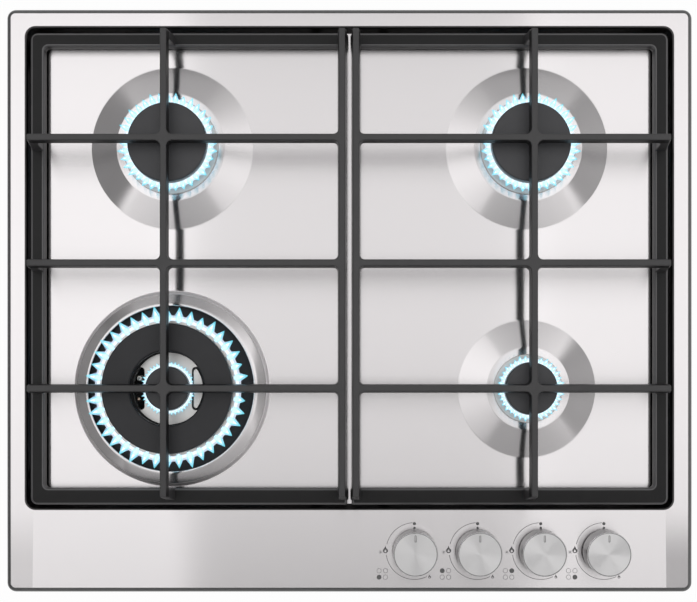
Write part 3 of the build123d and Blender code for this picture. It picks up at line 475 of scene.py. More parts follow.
def make_finishes():
    scene = bpy.context.scene
    plate, support, burner = scene.cooktop_plate, scene.cooktop_support, scene.cooktop_burner
    flame, knob = scene.cooktop_flame, scene.cooktop_knob
    along_x = (9.0, 1400.0, 1400.0)
    sheet = tuple(plate.steel), 0.215, along_x, (0, 1, 0), 1.0, 0.01, 0.008
    FINISHES.update({
        "steel": brushed("brushed_steel", *sheet),
        # painted shade: a darker copy of the steel for the rolled edge
        "steel_edge_painted_shade": brushed("rolled_edge_painted_shade_steel", tuple(plate.edge), 0.36, along_x, (0, 1, 0), 0.2),
        "zinc": zinc("galvanised_sheet", (0.55, 0.56, 0.57)),
        "foam": speckled("seal_foam", (0.03, 0.03, 0.03), 0.9, scale=1500.0, strength=0.4),
        "alloy": speckled("burner_alloy", tuple(burner.alloy), 0.42, 1.0, 1100.0, 0.12),
        "alloy_dark": speckled("cup_alloy", shade(burner.alloy, 1.1), 0.5, 1.0, 900.0, 0.15),
        "cap": speckled("cap_enamel", shade(burner.cap, 1.12), 0.5, 0.0, 1500.0, 0.1),
        "cap_ring": speckled("ring_cap_enamel", shade(burner.cap, 0.72), 0.5, 0.0, 1500.0, 0.1, specular=0.3),
        "cast": speckled("support_enamel", tuple(support.enamel), 0.46, 0.0, 1300.0, 0.16),
        "rubber": speckled("pad_rubber", tuple(support.rubber), 0.8, 0.0, 1200.0, 0.2),
        "ceramic": speckled("electrode_ceramic", tuple(burner.ceramic), 0.25, 0.0, 800.0, 0.03, contrast=0.02),
        "bright": brushed("bright_steel", (0.62, 0.61, 0.60), 0.22, (300, 300, 20), (1, 0, 0), 0.3),
        "copper": brushed("sheath_metal", (0.55, 0.42, 0.33), 0.3, (900, 900, 900), (1, 0, 0), 0.3),
        "brass": brushed("machined_brass", (0.62, 0.47, 0.22), 0.3, (800, 60, 800), (1, 0, 0), 0.4),
        "pipe": brushed("drawn_pipe", (0.66, 0.66, 0.66), 0.33, (300, 300, 300), (0, 1, 0), 0.3),
        "sleeve": speckled("lead_sleeve", (0.05, 0.05, 0.05), 0.6, 0.0, 900.0, 0.1),
        "dark": speckled("dark_plastic", (0.03, 0.03, 0.03), 0.5, 0.0, 1400.0, 0.25),
        # painted shade: a darker copy of the knob metal for the knobs' sides
        "knob_side_painted_shade": brushed("knob_side_painted_shade", shade(knob.metal, 0.56), 0.36, (500, 500, 500), (0, 0, 1), 0.5),
        "knob_face": spun("knob_face", tuple(knob.metal), 0.4, 1.0),
        "knob_bevel": speckled("knob_bevel", shade(knob.metal, 0.95), 0.2, 1.0, 600.0, 0.02, contrast=0.02),
        "print": speckled("dial_print", tuple(knob.print), 0.5, 0.0, 2000.0, 0.03),
        "flame_core": glowing("flame_core", tuple(flame.core), 1.0, 0.7),
        "flame_body": glowing("flame_body", tuple(flame.body), 0.95, 0.5),
        "flame_veil": glowing("flame_veil", tuple(flame.veil), 0.9, 0.2),
        "flame_base": glowing("flame_base", tuple(flame.base), 0.98, 0.42),
        "flame_haze": glowing("flame_haze", tuple(flame.haze), 0.95, 0.3),
        "groove": speckled("groove_shadow", (0.12, 0.12, 0.12), 0.5, 0.6, 900.0, 0.05),
        # painted shade: darker copies of the steel for the front panel's side strips, the right one darker
        "strip": brushed("side_strip_painted_shade_steel", *sheet, low=0.82),
        "strip_right_painted_shade": brushed("right_strip_painted_shade_steel", *sheet, low=0.6),
        # painted light: a lighter copy of the steel for the wok cone's low step; its rougher, unbrushed sheen is
        # its own
        "step": brushed("wok_step_painted_light_steel", shade(plate.steel, 1.2), 0.6, along_x, (0, 1, 0), 0.0),
        # painted highlight: a lighter copy of the enamel for the frame's rounded top edge
        "cast_painted_highlight": speckled("frame_edge_painted_highlight_enamel", shade(support.enamel, 2.0), 0.3, 0.0, 1300.0, 0.1, specular=0.7),
        # painted shade: near-black copy of the steel for the well's wall
        "wall": brushed("well_wall_painted_shade_steel", shade(plate.steel, 0.10), 0.34, along_x, (0, 1, 0), 0.3, 0.03),
        # painted shade: a darker copy of the enamel for the bars' sides and the low frame
        "cast_painted_shade": speckled("casting_painted_shade_enamel", shade(support.enamel, 0.27), 0.40, 0.0, 1300.0, 0.16, specular=0.2),
        # painted shade: near-black alloy for the wok cup's flange and hollow
        "cup_painted_shade": speckled("cup_flange_painted_shade", (0.02, 0.02, 0.023), 0.6, 0.3, 900.0, 0.15),
        # painted shade: near-black alloy for the dish's rim groove and the moat round the lug
        "moat": speckled("dish_groove_painted_shade", (0.012, 0.012, 0.014), 0.6, 0.0, 900.0, 0.1),
    })


SLOT_FINISH = {
    "steel": "steel", "galvanised": "zinc", "seal": "foam", "burner_alloy": "alloy_dark", "enamel_cap": "cap",
    "cast_support": "cast", "foot_rubber": "rubber", "knob_metal": "knob_side_painted_shade", "brass": "brass",
    "ceramic": "ceramic", "thermo_metal": "copper", "pipe_alloy": "pipe", "lead_sleeve": "sleeve",
    "dark_plastic": "dark",
}


# ---- top plate ----
WOK_CONE = [  # out from the cone's top, over the well's floor: a short step, then a gentle slope
    (12.2, 0.0), (11.6, 0.15), (11.1, 0.55), (10.7, 1.2), (10.4, 2.05), (10.1, 2.7), (9.6, 3.3), (8.8, 3.85),
    (7.8, 4.38), (5.0, 5.73), (2.2, 7.07), (1.2, 7.52), (0.4, 7.85), (-0.4, 8.0)]
CREASE_X = 277.0
CREASE_SIDE_Y = -177.0


def rim_ring(offset, z):
    """The plate's outline, drawn in by an offset, with points where the side strips' creases end."""
    x, y, r = 300.0 - offset, 255.0 - offset, max(8.0 - offset, 0.6)
    path = []
    corners = rectangle(-x, x, -y, y)
    for k in range(4):
        arc_points = corner_arc(corners[k], corners[k - 1], corners[(k + 1) % 4], r, 8)
        if k == 0:
            path.append((-x, CREASE_SIDE_Y))
        path += [(p.x, p.y) for p in arc_points]
        if k == 0:
            path += [(-CREASE_X, -y), (CREASE_X, -y)]
        if k == 1:
            path.append((x, CREASE_SIDE_Y))
    return [(px, py, z) for px, py in path]


def well_ring(offset, z):
    """The well's mouth, drawn in by an offset."""
    x, y, r = 282.5 - offset, 210.2 - offset, max(8.0 - offset, 0.6)
    return [(px, py, z) for px, py in rounded_rectangle(-x, x, WELL_Y - y, WELL_Y + y, r, 8)]


def make_plate():
    plate = bpy.context.scene.cooktop_plate
    roll, bend, cone_bend = plate.roll * 1000, plate.bend * 1000, plate.cone_bend * 1000
    shell = Shell()
    shell.finish = 1
    outer = [(0.0, 45.5), (0.0, RIM_Z - roll)]
    outer += [(roll + r, z) for r, z in arc(0, RIM_Z - roll, roll, 180, 90, 8)[1:]]
    rings = [shell.loop(rim_ring(o, z)) for o, z in outer]
    # Painted shade: the outer wall and every strip of the roll take the darker rolled-edge steel
    for k, (a, b) in enumerate(zip(rings, rings[1:])):
        shell.finish = 1 if k < 9 else 0
        shell.strip(a, b)
    shell.finish = 0
    edge = rings[-1]
    phi = radians(65)
    t = bend * tan(phi / 2)
    low_bend = bend * 0.7
    t2 = low_bend * tan(phi / 2)
    foot = 6 * tan(radians(25))
    path = [(-t + bend * sin(phi * k / 5), RIM_Z - bend + bend * cos(phi * k / 5)) for k in range(6)]
    path += [(foot + t2 - low_bend * sin(phi * k / 4), FLOOR_Z + low_bend - low_bend * cos(phi * k / 4))
             for k in range(4, -1, -1)]
    # Painted shade: the well's wall takes the near-black wall steel
    shell.finish = 3
    wall = shell.stack([well_ring(o, z) for o, z in path])
    shell.finish = 0
    mouth, base = wall[0], wall[-1]
    lines = []
    for sign in (-1, 1):
        near = min(mouth, key=lambda i: (shell.points[i][0] - sign * 277.5) ** 2 + (shell.points[i][1] + 181) ** 2)
        for x, y in ((sign * CREASE_X, -251), (sign * 296, CREASE_SIDE_Y)):
            end = min(edge, key=lambda i: (shell.points[i][0] - x) ** 2 + (shell.points[i][1] - y) ** 2)
            lines.append((near, end))
    holes = [shell.loop(circle(5.5, RIM_Z, 32, x, KNOB_Y)) for x in KNOB_XS]
    first = len(shell.faces)
    shell.fill(edge, [mouth, *holes], lines)
    # Painted shade: the side strips' faces take the darker strip steels, the right one darker still
    for k in range(first, len(shell.faces)):
        px, py = (sum(shell.points[i][axis] for i in shell.faces[k]) / len(shell.faces[k]) for axis in (0, 1))
        if py < CREASE_SIDE_Y and abs(px) > CREASE_X:
            shell.finishes[k] = 2 if px < 0 else 4
    for hole, x in zip(holes, KNOB_XS):
        low = shell.loop(circle(5.2, RIM_Z - 0.5, 32, x, KNOB_Y))
        shell.strip(hole, low)
    feet = []
    for b in [*BURNERS.values(), WOK]:
        slope = atan2(CONE_Z - FLOOR_Z, b["foot"] - b["top"])
        t = cone_bend * tan(slope / 2)
        profile = [(b["foot"] + t - cone_bend * sin(slope * k / 4),
                    FLOOR_Z + cone_bend - cone_bend * cos(slope * k / 4)) for k in range(5)]
        profile += [(b["top"] - t + cone_bend * sin(slope * k / 4),
                     CONE_Z - cone_bend + cone_bend * cos(slope * k / 4)) for k in range(4, -1, -1)]
        lip = 1.0
        if b is WOK:
            profile = [(b["top"] + dr, FLOOR_Z + dz) for dr, dz in WOK_CONE]
        profile += [(b["hole"] + lip - lip * sin(radians(a)), CONE_Z - lip + lip * cos(radians(a)))
                    for a in (0, 30, 60, 90)]
        profile.append((b["hole"], CONE_Z - 2.6))
        first = len(shell.faces)
        feet.append(shell.lathe(profile, 128, b["x"], b["y"])[0])
        # Painted light: the wok cone's low step takes the lighter step steel
        for k in range(first, len(shell.faces)):
            heights = [shell.points[i][2] for i in shell.faces[k]]
            if b is WOK and max(heights) < FLOOR_Z + 3.9:
                shell.finishes[k] = 5
    shell.fill(base, feet)
    drop = plate.strip_drop * 1000
    lowered = []
    for x, y, z in shell.points:
        if y < CREASE_SIDE_Y + 1 and z > 45.6 and abs(x) > 262:
            over = max(0.0, abs(x) - CREASE_X) / 19
            fade = min(1.0, max(0.0, (CREASE_SIDE_Y - y) / 4)) if abs(x) > 282 else 1.0
            z -= drop * min(over, 1.2) * fade * (z - 45.5) / 6.5
        lowered.append((x, y, z))
    shell.points = lowered
    finishes = [FINISHES[key] for key in ("steel", "steel_edge_painted_shade", "strip", "wall", "strip_right_painted_shade", "step")]
    obj = piece("top_plate", shell, "hob", finishes, smooth=35, replaces=["hob_top"])
    work = bmesh.new()
    work.from_mesh(obj.data)
    if sum(f.normal.z * f.calc_area() for f in work.faces) < 0:
        bmesh.ops.reverse_faces(work, faces=work.faces)
    work.to_mesh(obj.data)
    work.free()
    thick = obj.modifiers.new("sheet", "SOLIDIFY")
    thick.thickness = 0.0007
    thick.offset = -1
    obj.modifiers.move(1, 0)


# ---- pan supports ----
def bar_outlines(grow, crossing):
    """Outlines of the left casting's bars at one level: the outside and the two closed cells."""
    h, r, e = 2.6 + grow, max(crossing - grow, 0.3), 0.9 + grow
    xa, xb, xl = -BURNER_X, -5.8, -270.0 - grow
    yb, yt = -168.2 - grow, 225.0 + grow
    rows = (REAR_Y, WELL_Y, FRONT_Y)
    y1, y2, y3 = rows
    path = [(xl, y3 - h, e), (xa - h, y3 - h, r), (xa - h, yb, e), (xa + h, yb, e), (xa + h, y3 - h, r),
            (xb - h, y3 - h, r), (xb - h, yb, e), (xb + h, yb, e), (xb + h, yt, e), (xb - h, yt, e),
            (xb - h, y1 + h, r), (xa + h, y1 + h, r), (xa + h, yt, e), (xa - h, yt, e), (xa - h, y1 + h, r),
            (xl, y1 + h, e), (xl, y1 - h, e), (xa - h, y1 - h, r), (xa - h, y2 + h, r), (xl, y2 + h, e),
            (xl, y2 - h, e), (xa - h, y2 - h, r), (xa - h, y3 + h, r), (xl, y3 + h, e)]
    outline = rounded_path([(x, y) for x, y, _ in path], [q for _, _, q in path])
    cells = [rounded_path(rectangle(xa + h, xb - h, low + h, high - h), [r] * 4)
             for low, high in ((y2, y1), (y3, y2))]
    return outline, cells


def lay_levels(shell, levels, outlines):
    """Stacks an outline with holes through levels of (height, growth) and closes both ends."""
    stacks = []
    shapes = [outlines(grow) for _, grow in levels]
    for k in range(1 + len(shapes[0][1])):
        loops = []
        for (z, _), (outer, holes) in zip(levels, shapes):
            path = outer if k == 0 else holes[k - 1]
            loops.append([(x, y, z) for x, y in path])
        stacks.append(shell.stack(loops))
    for end in (0, -1):
        shell.fill(stacks[0][end], [stack[end] for stack in stacks[1:]])


def frame_outline(level):
    """Outline of the left casting's low frame at one level, which has a growth and an outward draft."""
    grow, draft = level
    x0, x1 = -277.0 - grow - draft, -2.0 + min(grow, 0)
    y0, y1 = -178.0 - grow, 232.0 + grow + draft
    w, front = 11.7 + 2 * grow + draft, 14.5 + 2 * grow
    path = [(x0, y0, 6 + grow), (x1, y0, 1.2), (x1, y0 + front, 1.2), (x0 + w, y0 + front, max(3.5 - grow, 0.4)),
            (x0 + w, y1 - w, max(3.5 - grow, 0.4)), (x1, y1 - w, 1.2), (x1, y1, 1.2), (x0, y1, 6 + grow)]
    return rounded_path([(x, y) for x, y, _ in path], [r for _, _, r in path]), []


LEG_LEVELS = [  # height, outer face and inner face from the frame's outside, half the width
    (55.0, 1.2, 11.2, 4.9), (57.4, 1.3, 11.2, 4.7), (58.4, 1.4, 11.0, 4.1), (60.5, 1.7, 10.9, 3.6),
    (66.0, 2.6, 11.3, 3.35), (74.0, 3.9, 12.0, 3.3), (81.0, 5.1, 13.2, 3.35), (84.5, 5.7, 15.4, 3.5),
    (86.6, 6.0, 18.6, 3.6), (87.4, 6.4, 19.4, 3.0)]


def lay_leg(shell, x, y, turn, mirror):
    """A leg at a place on the frame's outside; turn is the direction inward, in degrees."""
    a = radians(turn)
    loops = []
    for z, outer, inner, half in LEG_LEVELS:
        path = rounded_rectangle(outer, inner, -half, half, min(1.1, half * 0.5), 3)
        loops.append([(mirror * (x + px * cos(a) - py * sin(a)), y + px * sin(a) + py * cos(a), z)
                      for px, py in path])
    rings = shell.stack(loops)
    shell.face(rings[0])
    shell.face(rings[-1])


def make_supports():
    settings = bpy.context.scene.cooktop_support
    crossing, edge = settings.crossing * 1000, settings.bar_edge * 1000
    frame_edge = settings.frame_edge * 1000
    flare = tan(radians(8))
    bars = [(85.5, 8.5 * flare - 0.5), (85.9, 8.1 * flare - 0.1), (86.3, 7.7 * flare)]
    bars += [(94 - edge + edge * sin(radians(a)), edge * flare - edge + edge * cos(radians(a)))
             for a in (0, 22.5, 45, 67.5, 90)]
    low = [(49.0, (-0.6, 2.8)), (49.6, (0.0, 2.8)), (53.0, (0.0, 1.0))]
    low += [(58 - frame_edge + frame_edge * sin(radians(a)), (-frame_edge + frame_edge * cos(radians(a)), 0.0))
            for a in (0, 22.5, 45, 67.5, 90)]
    for side, mirror in (("left", 1), ("right", -1)):
        shell = Shell()
        lay_levels(shell, bars, lambda grow: bar_outlines(grow, crossing))
        # Painted shade: the bars' sides below the rounded top edge take the darker enamel
        shell.finishes = [1 if max(shell.points[i][2] for i in face) < 94.1 - edge else 0 for face in shell.faces]
        # Painted shade: the low frame takes the darker enamel as well
        shell.finish = 1
        first = len(shell.faces)
        lay_levels(shell, low, frame_outline)
        # Painted highlight: the frame's rounded top edge takes the lighter edge enamel
        for k in range(first, len(shell.faces)):
            foot = min(shell.points[i][2] for i in shell.faces[k])
            if 57.95 - frame_edge < foot < 57.9:
                shell.finishes[k] = 2
        shell.finish = 0
        if mirror < 0:
            shell.points = [(-x, y, z) for x, y, z in shell.points]
        for x in (-BURNER_X, -5.8):
            lay_leg(shell, x, -175.2, 90, mirror)
            lay_leg(shell, x, 232.0, -90, mirror)
        for y in (REAR_Y, WELL_Y, FRONT_Y):
            lay_leg(shell, -277.0, y, 0, mirror)
        piece(f"{side}_casting", shell, f"{side}_support", [FINISHES["cast"], FINISHES["cast_painted_shade"], FINISHES["cast_painted_highlight"]],
              smooth=50, replaces=[f"{side}_pan_support"])


# ---- burners ----
def toothed(radius, root, count, gap, z, x, y, turn=0.0):
    """A crown's outline with a port cut between each pair of teeth; gap is a port's width."""
    points = []
    steps = 2
    for k in range(count):
        middle = 2 * pi * k / count + turn
        nxt = middle + 2 * pi / count
        a, b = gap / 2 / radius, gap * 0.32 / root
        points += [(x + root * cos(middle - b), y + root * sin(middle - b), z),
                   (x + root * cos(middle + b), y + root * sin(middle + b), z)]
        for s in range(steps + 1):
            angle = middle + a + (nxt - a - middle - a) * s / steps
            points.append((x + radius * cos(angle), y + radius * sin(angle), z))
    return points


def lay_crown(shell, radius, count, gap, depth, low, high, cut, x, y, bore=0.0, flare=0.0):
    """A ported crown: plain wall below, teeth above, a floor or a bore in the middle."""
    root = radius - depth
    foot = [toothed(radius + flare, radius + flare - 0.01, count, gap, low, x, y),
            toothed(radius, radius - 0.01, count, gap, high - cut, x, y)]
    rings = shell.stack(foot)
    slots = shell.stack([toothed(radius, root, count, gap, high - cut, x, y),
                         toothed(radius, root, count, gap, high - 0.3, x, y),
                         toothed(radius - 0.3, root - 0.3, count, gap, high, x, y)])
    shell.strip(rings[-1], slots[0])
    top = slots[-1]
    if bore:
        inner = shell.loop(circle(bore, high, 96, x, y))
        shell.fill(top, [inner])
        return rings[0], inner
    shell.fill(top)
    return rings[0], top


def rounded_box(shell, x0, x1, y0, y1, z0, z1, r=1.0):
    path = rounded_rectangle(x0, x1, y0, y1, r, 3)
    small = rounded_rectangle(x0 + 0.4, x1 - 0.4, y0 + 0.4, y1 - 0.4, r, 3)
    rings = shell.stack([[(x, y, z0) for x, y in small], [(x, y, z0 + 0.4) for x, y in path],
                         [(x, y, z1 - 0.4) for x, y in path], [(x, y, z1) for x, y in small]])
    shell.face(rings[0])
    shell.face(rings[-1])


def make_cups():
    shell = Shell()
    for b in BURNERS.values():
        x, y = b["x"], b["y"]
        lip, bowl = b["hole"] + 1.5, b["crown"] - 1.5
        bore = bowl - 3
        profile = [(9.0, 33.0), (9.0, 47.5), (10.0, 48.0), (bore - 1.5, 48.0), (bore, 49.5), (bore, 55.6),
                   (bore + 0.4, 56.0), (lip - 0.9, 56.0), (lip - 0.3, 55.8), (lip, 55.3), (lip, 54.0),
                   (bowl, 54.0), (bowl, 45.6), (bowl - 0.6, 45.2), (14.0, 45.2), (14.0, 38.0), (12.9, 37.9),
                   (12.9, 33.0)]
        shell.lathe(profile, 96, x, y, closed=True)
        rounded_box(shell, x - 13, x + 13, y - 13, y + 13, 22.0, 38.0)
    piece("cast_cups", shell, "hob", [FINISHES["alloy_dark"]], replaces=["burner_cups"])


def make_spreaders():
    for name, b in BURNERS.items():
        shell = Shell()
        x, y, r = b["x"], b["y"], b["crown"]
        bore = r - 14
        gap = 2.5 if r > 25 else 1.5
        low, inner = lay_crown(shell, r, b["ports"], gap, 5.0, SEAT_Z + 0.4, CAP_Z, 4.5, x, y, bore, 0.4)
        spigot = b["crown"] - 4.5 - 0.4
        under = shell.loop(toothed(r, r - 0.01, b["ports"], gap, SEAT_Z, x, y))
        shell.strip(low, under)
        seat = shell.loop(circle(spigot, SEAT_Z, 96, x, y))
        shell.fill(under, [seat])
        foot = shell.loop(circle(spigot, 52.4, 96, x, y))
        shell.strip(seat, foot)
        foot2 = shell.loop(circle(spigot - 0.4, 52.0, 96, x, y))
        shell.strip(foot, foot2)
        hole = shell.loop(circle(bore, 52.0, 96, x, y))
        shell.strip(foot2, hole)
        shell.strip(hole, inner)
        piece(f"{name}_crown", shell, f"{name}_spreader", [FINISHES["alloy"]],
              replaces=[f"{name}_spreader"])


def cap_profile(radius, edge, crown):
    """A cap's section from under its middle round to its top."""
    top = 76.0 - crown
    low = [(0, CAP_Z), (radius - 0.5, CAP_Z), (radius, CAP_Z + 0.5)]
    return low + arc(radius - edge, top - edge, edge, 0, 90, 5) + [(radius * 0.6, 76.0 - crown * 0.3), (0, 76.0)]


def make_caps():
    settings = bpy.context.scene.cooktop_burner
    edge, crown = settings.cap_edge * 1000, settings.cap_crown * 1000
    for name, b in BURNERS.items():
        shell = Shell()
        shell.lathe(cap_profile(b["cap"], edge, crown), 128, b["x"], b["y"])
        piece(f"{name}_lid", shell, f"{name}_cap", [FINISHES["cap"]], smooth=60,
              replaces=[f"{name}_cap"])
    x, y = WOK["x"], WOK["y"]
    shell = Shell()
    shell.lathe(cap_profile(18.75, edge * 0.9, crown), 96, x, y)
    piece("wok_inner_lid", shell, "wok_inner_cap", [FINISHES["cap"]], smooth=60,
          replaces=["wok_inner_cap"])
    shell = Shell()
    profile = [(32.4, CAP_Z), (55.5, CAP_Z), (56.0, CAP_Z + 0.5)]
    profile += arc(56.0 - edge, 76 - edge, edge, 0, 90, 5)
    profile += arc(32.0 + edge, 76 - edge, edge, 90, 180, 5) + [(32.0, CAP_Z + 0.4)]
    shell.lathe(profile, 144, x, y, closed=True)
    piece("wok_ring_lid", shell, "wok_outer_cap", [FINISHES["cap_ring"]], smooth=60,
          replaces=["wok_outer_cap"])


def dish_segment(x, y, side, near, half, reach, corner):
    """A part of the dish's floor: straight towards the middle, round along the ring cap's opening."""
    a = asin(half / reach)
    points = [(reach * cos(a * (k / 8 - 1)), reach * sin(a * (k / 8 - 1))) for k in range(17)]
    ends = rounded_rectangle(near, near + 20, -half, half, corner, 5)
    points += ends[-6:] + ends[:6]
    return [(x + side * px, y + side * py) for px, py in points]


def make_wok():
    x, y = WOK["x"], WOK["y"]
    shell = Shell()
    profile = [(9.0, 33.0), (9.0, 39.0), (52.0, 39.0), (53.0, 40.0), (53.0, 55.6), (53.4, 56.0), (55.6, 56.0),
               (56.0, 55.6), (56.0, 45.2), (96.6, 45.2), (97.0, 44.8), (97.0, 43.6), (96.6, 43.2), (56.0, 43.2),
               (56.0, 37.0), (55.0, 36.0), (12.9, 36.0), (12.9, 33.0)]
    shell.lathe(profile, 128, x, y, closed=True)
    # Painted shade: the flange, the hollow inside and the wall over the flange take near-black alloy
    for k, face in enumerate(shell.faces):
        heights = [shell.points[i][2] for i in face]
        radii = [hypot(shell.points[i][0] - x, shell.points[i][1] - y) for i in face]
        flange = max(heights) < 45.3 and max(radii) > 56.5
        hollow = min(heights) > 38.9 and max(radii) < 53.2
        outside = min(radii) > 55.9 and min(heights) > 45.1
        shell.finishes[k] = 1 if flange or hollow or outside else 0
    rounded_box(shell, x - 13, x + 13, y - 13, y + 13, 22.0, 38.0)
    piece("wok_cup", shell, "hob", [FINISHES["alloy_dark"], FINISHES["cup_painted_shade"]],
          replaces=["wok_burner_cup"])

    shell = Shell()
    r = 58.5
    low, inner = lay_crown(shell, r, 40, 3.0, 5.0, SEAT_Z + 0.4, CAP_Z, 4.5, x, y, 34.0, 0.3)
    under = shell.loop(toothed(r, r - 0.01, 40, 3.0, SEAT_Z, x, y))
    shell.strip(low, under)
    seat = shell.loop(circle(52.6, SEAT_Z, 96, x, y))
    shell.fill(under, [seat])
    spigot = [(52.6, 52.4), (52.2, 52.0), (48.0, 52.0), (48.0, 58.0)]
    rings = [shell.loop(circle(q, z, 96, x, y)) for q, z in spigot]
    shell.strip(seat, rings[0])
    for a, b in zip(rings, rings[1:]):
        shell.strip(a, b)
    lug = dish_segment(x, y, 1, 21.4, 17.2, 29.9, 2.6)
    moat = dish_segment(x, y, 1, 19.8, 18.8, 31.0, 3.2)
    slot = dish_segment(x, y, -1, 21.0, 18.4, 31.0, 3.0)
    # Painted shade: the dish's rim groove at the ring cap's gap is near-black
    shell.finish = 1
    rim_path = [(34.0, DISH_Z + 0.8), (33.6, DISH_Z - 1.0), (31.4, DISH_Z - 1.0), (31.1, DISH_Z)]
    rim_rings = [inner] + [shell.loop(circle(q, z, 96, x, y)) for q, z in rim_path]
    for a, b in zip(rim_rings, rim_rings[1:]):
        shell.strip(a, b)
    dish_rim = rim_rings[-1]
    shell.finish = 0
    count, gap, crown_r = 40, 0.95, 17.0
    hub = shell.loop([(px, py, DISH_Z) for px, py, _ in toothed(crown_r, crown_r - 0.01, count, gap, 0, x, y)])
    slot_top = shell.loop([(px, py, DISH_Z) for px, py in slot])
    moat_top = shell.loop([(px, py, DISH_Z) for px, py in moat])
    shell.fill(dish_rim, [hub, slot_top, moat_top])
    slot_low = shell.loop([(px, py, 58.0) for px, py in slot])
    shell.strip(slot_top, slot_low)
    shell.fill(rings[-1], [slot_low])
    # Painted shade: the moat round the lug is near-black
    shell.finish = 1
    moat_low = shell.loop([(px, py, DISH_Z - 1.6) for px, py in moat])
    shell.strip(moat_top, moat_low)
    lug_low = shell.loop([(px, py, DISH_Z - 1.6) for px, py in lug])
    shell.fill(moat_low, [lug_low])
    shell.finish = 0
    lug_top = shell.loop([(px, py, DISH_Z + 1.2) for px, py in lug])
    small = dish_segment(x, y, 1, 21.8, 16.8, 29.5, 2.2)
    lug_face = shell.loop([(px, py, DISH_Z + 1.6) for px, py in small])
    shell.strip(lug_low, lug_top)
    shell.strip(lug_top, lug_face)
    shell.face(lug_face)
    wall = shell.loop(toothed(crown_r, crown_r - 0.01, count, gap, CAP_Z - 3.2, x, y))
    shell.strip(hub, wall)
    slots = shell.stack([toothed(crown_r, crown_r - 2.5, count, gap, CAP_Z - 3.2, x, y),
                         toothed(crown_r, crown_r - 2.5, count, gap, CAP_Z, x, y)])
    shell.strip(wall, slots[0])
    shell.fill(slots[-1])
    piece("wok_crowns", shell, "wok_spreader", [FINISHES["alloy"], FINISHES["moat"]], smooth=35,
          replaces=["wok_spreader"])


def probe_places():
    places = []
    for b in BURNERS.values():
        dx, dy = b["probe"] * cos(radians(b["turn"])), b["probe"] * sin(radians(b["turn"]))
        places.append(((b["x"] - dx, b["y"] + dy), (b["x"] + dx, b["y"] + dy)))
    places.append(tuple(WOK_PROBES))
    return places


def make_probes():
    ceramic, pins, sheaths = Shell(), Shell(), Shell()
    for (ex, ey), (tx, ty) in probe_places():
        ceramic.lathe([(0, 32.0), (2.3, 32.0), (2.6, 32.6), (2.6, 55.0), (2.2, 55.6), (2.2, 61.0), (1.9, 61.7),
                       (1.3, 62.0), (0, 62.0)], 24, ex, ey)
        pins.lathe([(0, 61.5), (0.95, 61.5), (0.95, 67.2), (0.6, 67.8), (0, 68.0)], 16, ex, ey)
        sheaths.lathe([(0, 32.0), (2.8, 32.0), (2.9, 32.4), (2.9, 37.6), (2.6, 38.0), (2.0, 38.3), (2.0, 64.2),
                       (1.7, 65.2), (1.0, 65.9), (0, 66.0)], 24, tx, ty)
    piece("electrode_ceramic", ceramic, "hob", [FINISHES["ceramic"]], replaces=["ignition_electrodes"])
    piece("electrode_pins", pins, "hob", [FINISHES["bright"]])
    piece("thermocouple_sheaths", sheaths, "hob", [FINISHES["copper"]],
          replaces=["thermocouples"])


# ---- flames ----
def lay_jet(shell, x, y, angle, start, reach, z0, z1, half):
    """One jet: from a port outward, swelling, then rising to a point."""
    c, s = cos(angle), sin(angle)
    stations = [(0.0, 0.62, 0.0), (0.14, 0.9, 0.05), (0.34, 1.0, 0.16), (0.54, 0.86, 0.32), (0.74, 0.56, 0.57),
                (0.9, 0.26, 0.84)]
    rings = []
    for along, width, rise in stations:
        r, z = start + reach * along, z0 + (z1 - z0) * rise
        ring = []
        for k in range(8):
            a = 2 * pi * k / 8
            side, up = half * width * cos(a), half * width * 0.8 * sin(a)
            ring.append((x + r * c - side * s, y + r * s + side * c, z + up))
        rings.append(shell.loop(ring))
    for a, b in zip(rings, rings[1:]):
        shell.strip(a, b)
    shell.face(rings[0])
    tip = shell.loop([(x + (start + reach) * c, y + (start + reach) * s, z1)])[0]
    for k in range(8):
        shell.face((rings[-1][k], rings[-1][(k + 1) % 8], tip))


JET_PARTS = {  # share of the reach, share of the half width
    "core": (0.70, 0.62),
    "body": (1.0, 1.0),
    "veil": (0.84, 1.45),
}
BASE_REACH = 0.3


def lay_jets(shells, x, y, count, start, reach, z0, z1, half, haze, keep_clear=()):
    """A ring of jets, each with a core, a body and a veil, on two low rings where they join."""
    for k in range(count):
        angle = 2 * pi * k / count
        mid = (x + (start + reach * 0.5) * cos(angle), y + (start + reach * 0.5) * sin(angle))
        if any((mid[0] - px) ** 2 + (mid[1] - py) ** 2 < (2.7 + half) ** 2 for px, py in keep_clear):
            continue
        length = reach * (1 + 0.10 * sin(k * 2.39) + 0.06 * sin(k * 5.1 + 1))
        for kind, (share, width) in JET_PARTS.items():
            lay_jet(shells[kind], x, y, angle, start, length * share, z0, z1, half * width)
    for kind, share, z in (("base", BASE_REACH, z0 + 0.3), ("haze", haze, z0 - 0.6)):
        out = start + reach * share
        shells[kind].lathe([(start - 0.3, z - 0.3), (out, z + 0.1), (start - 0.3, z + 0.5)], 120, x, y, closed=True)


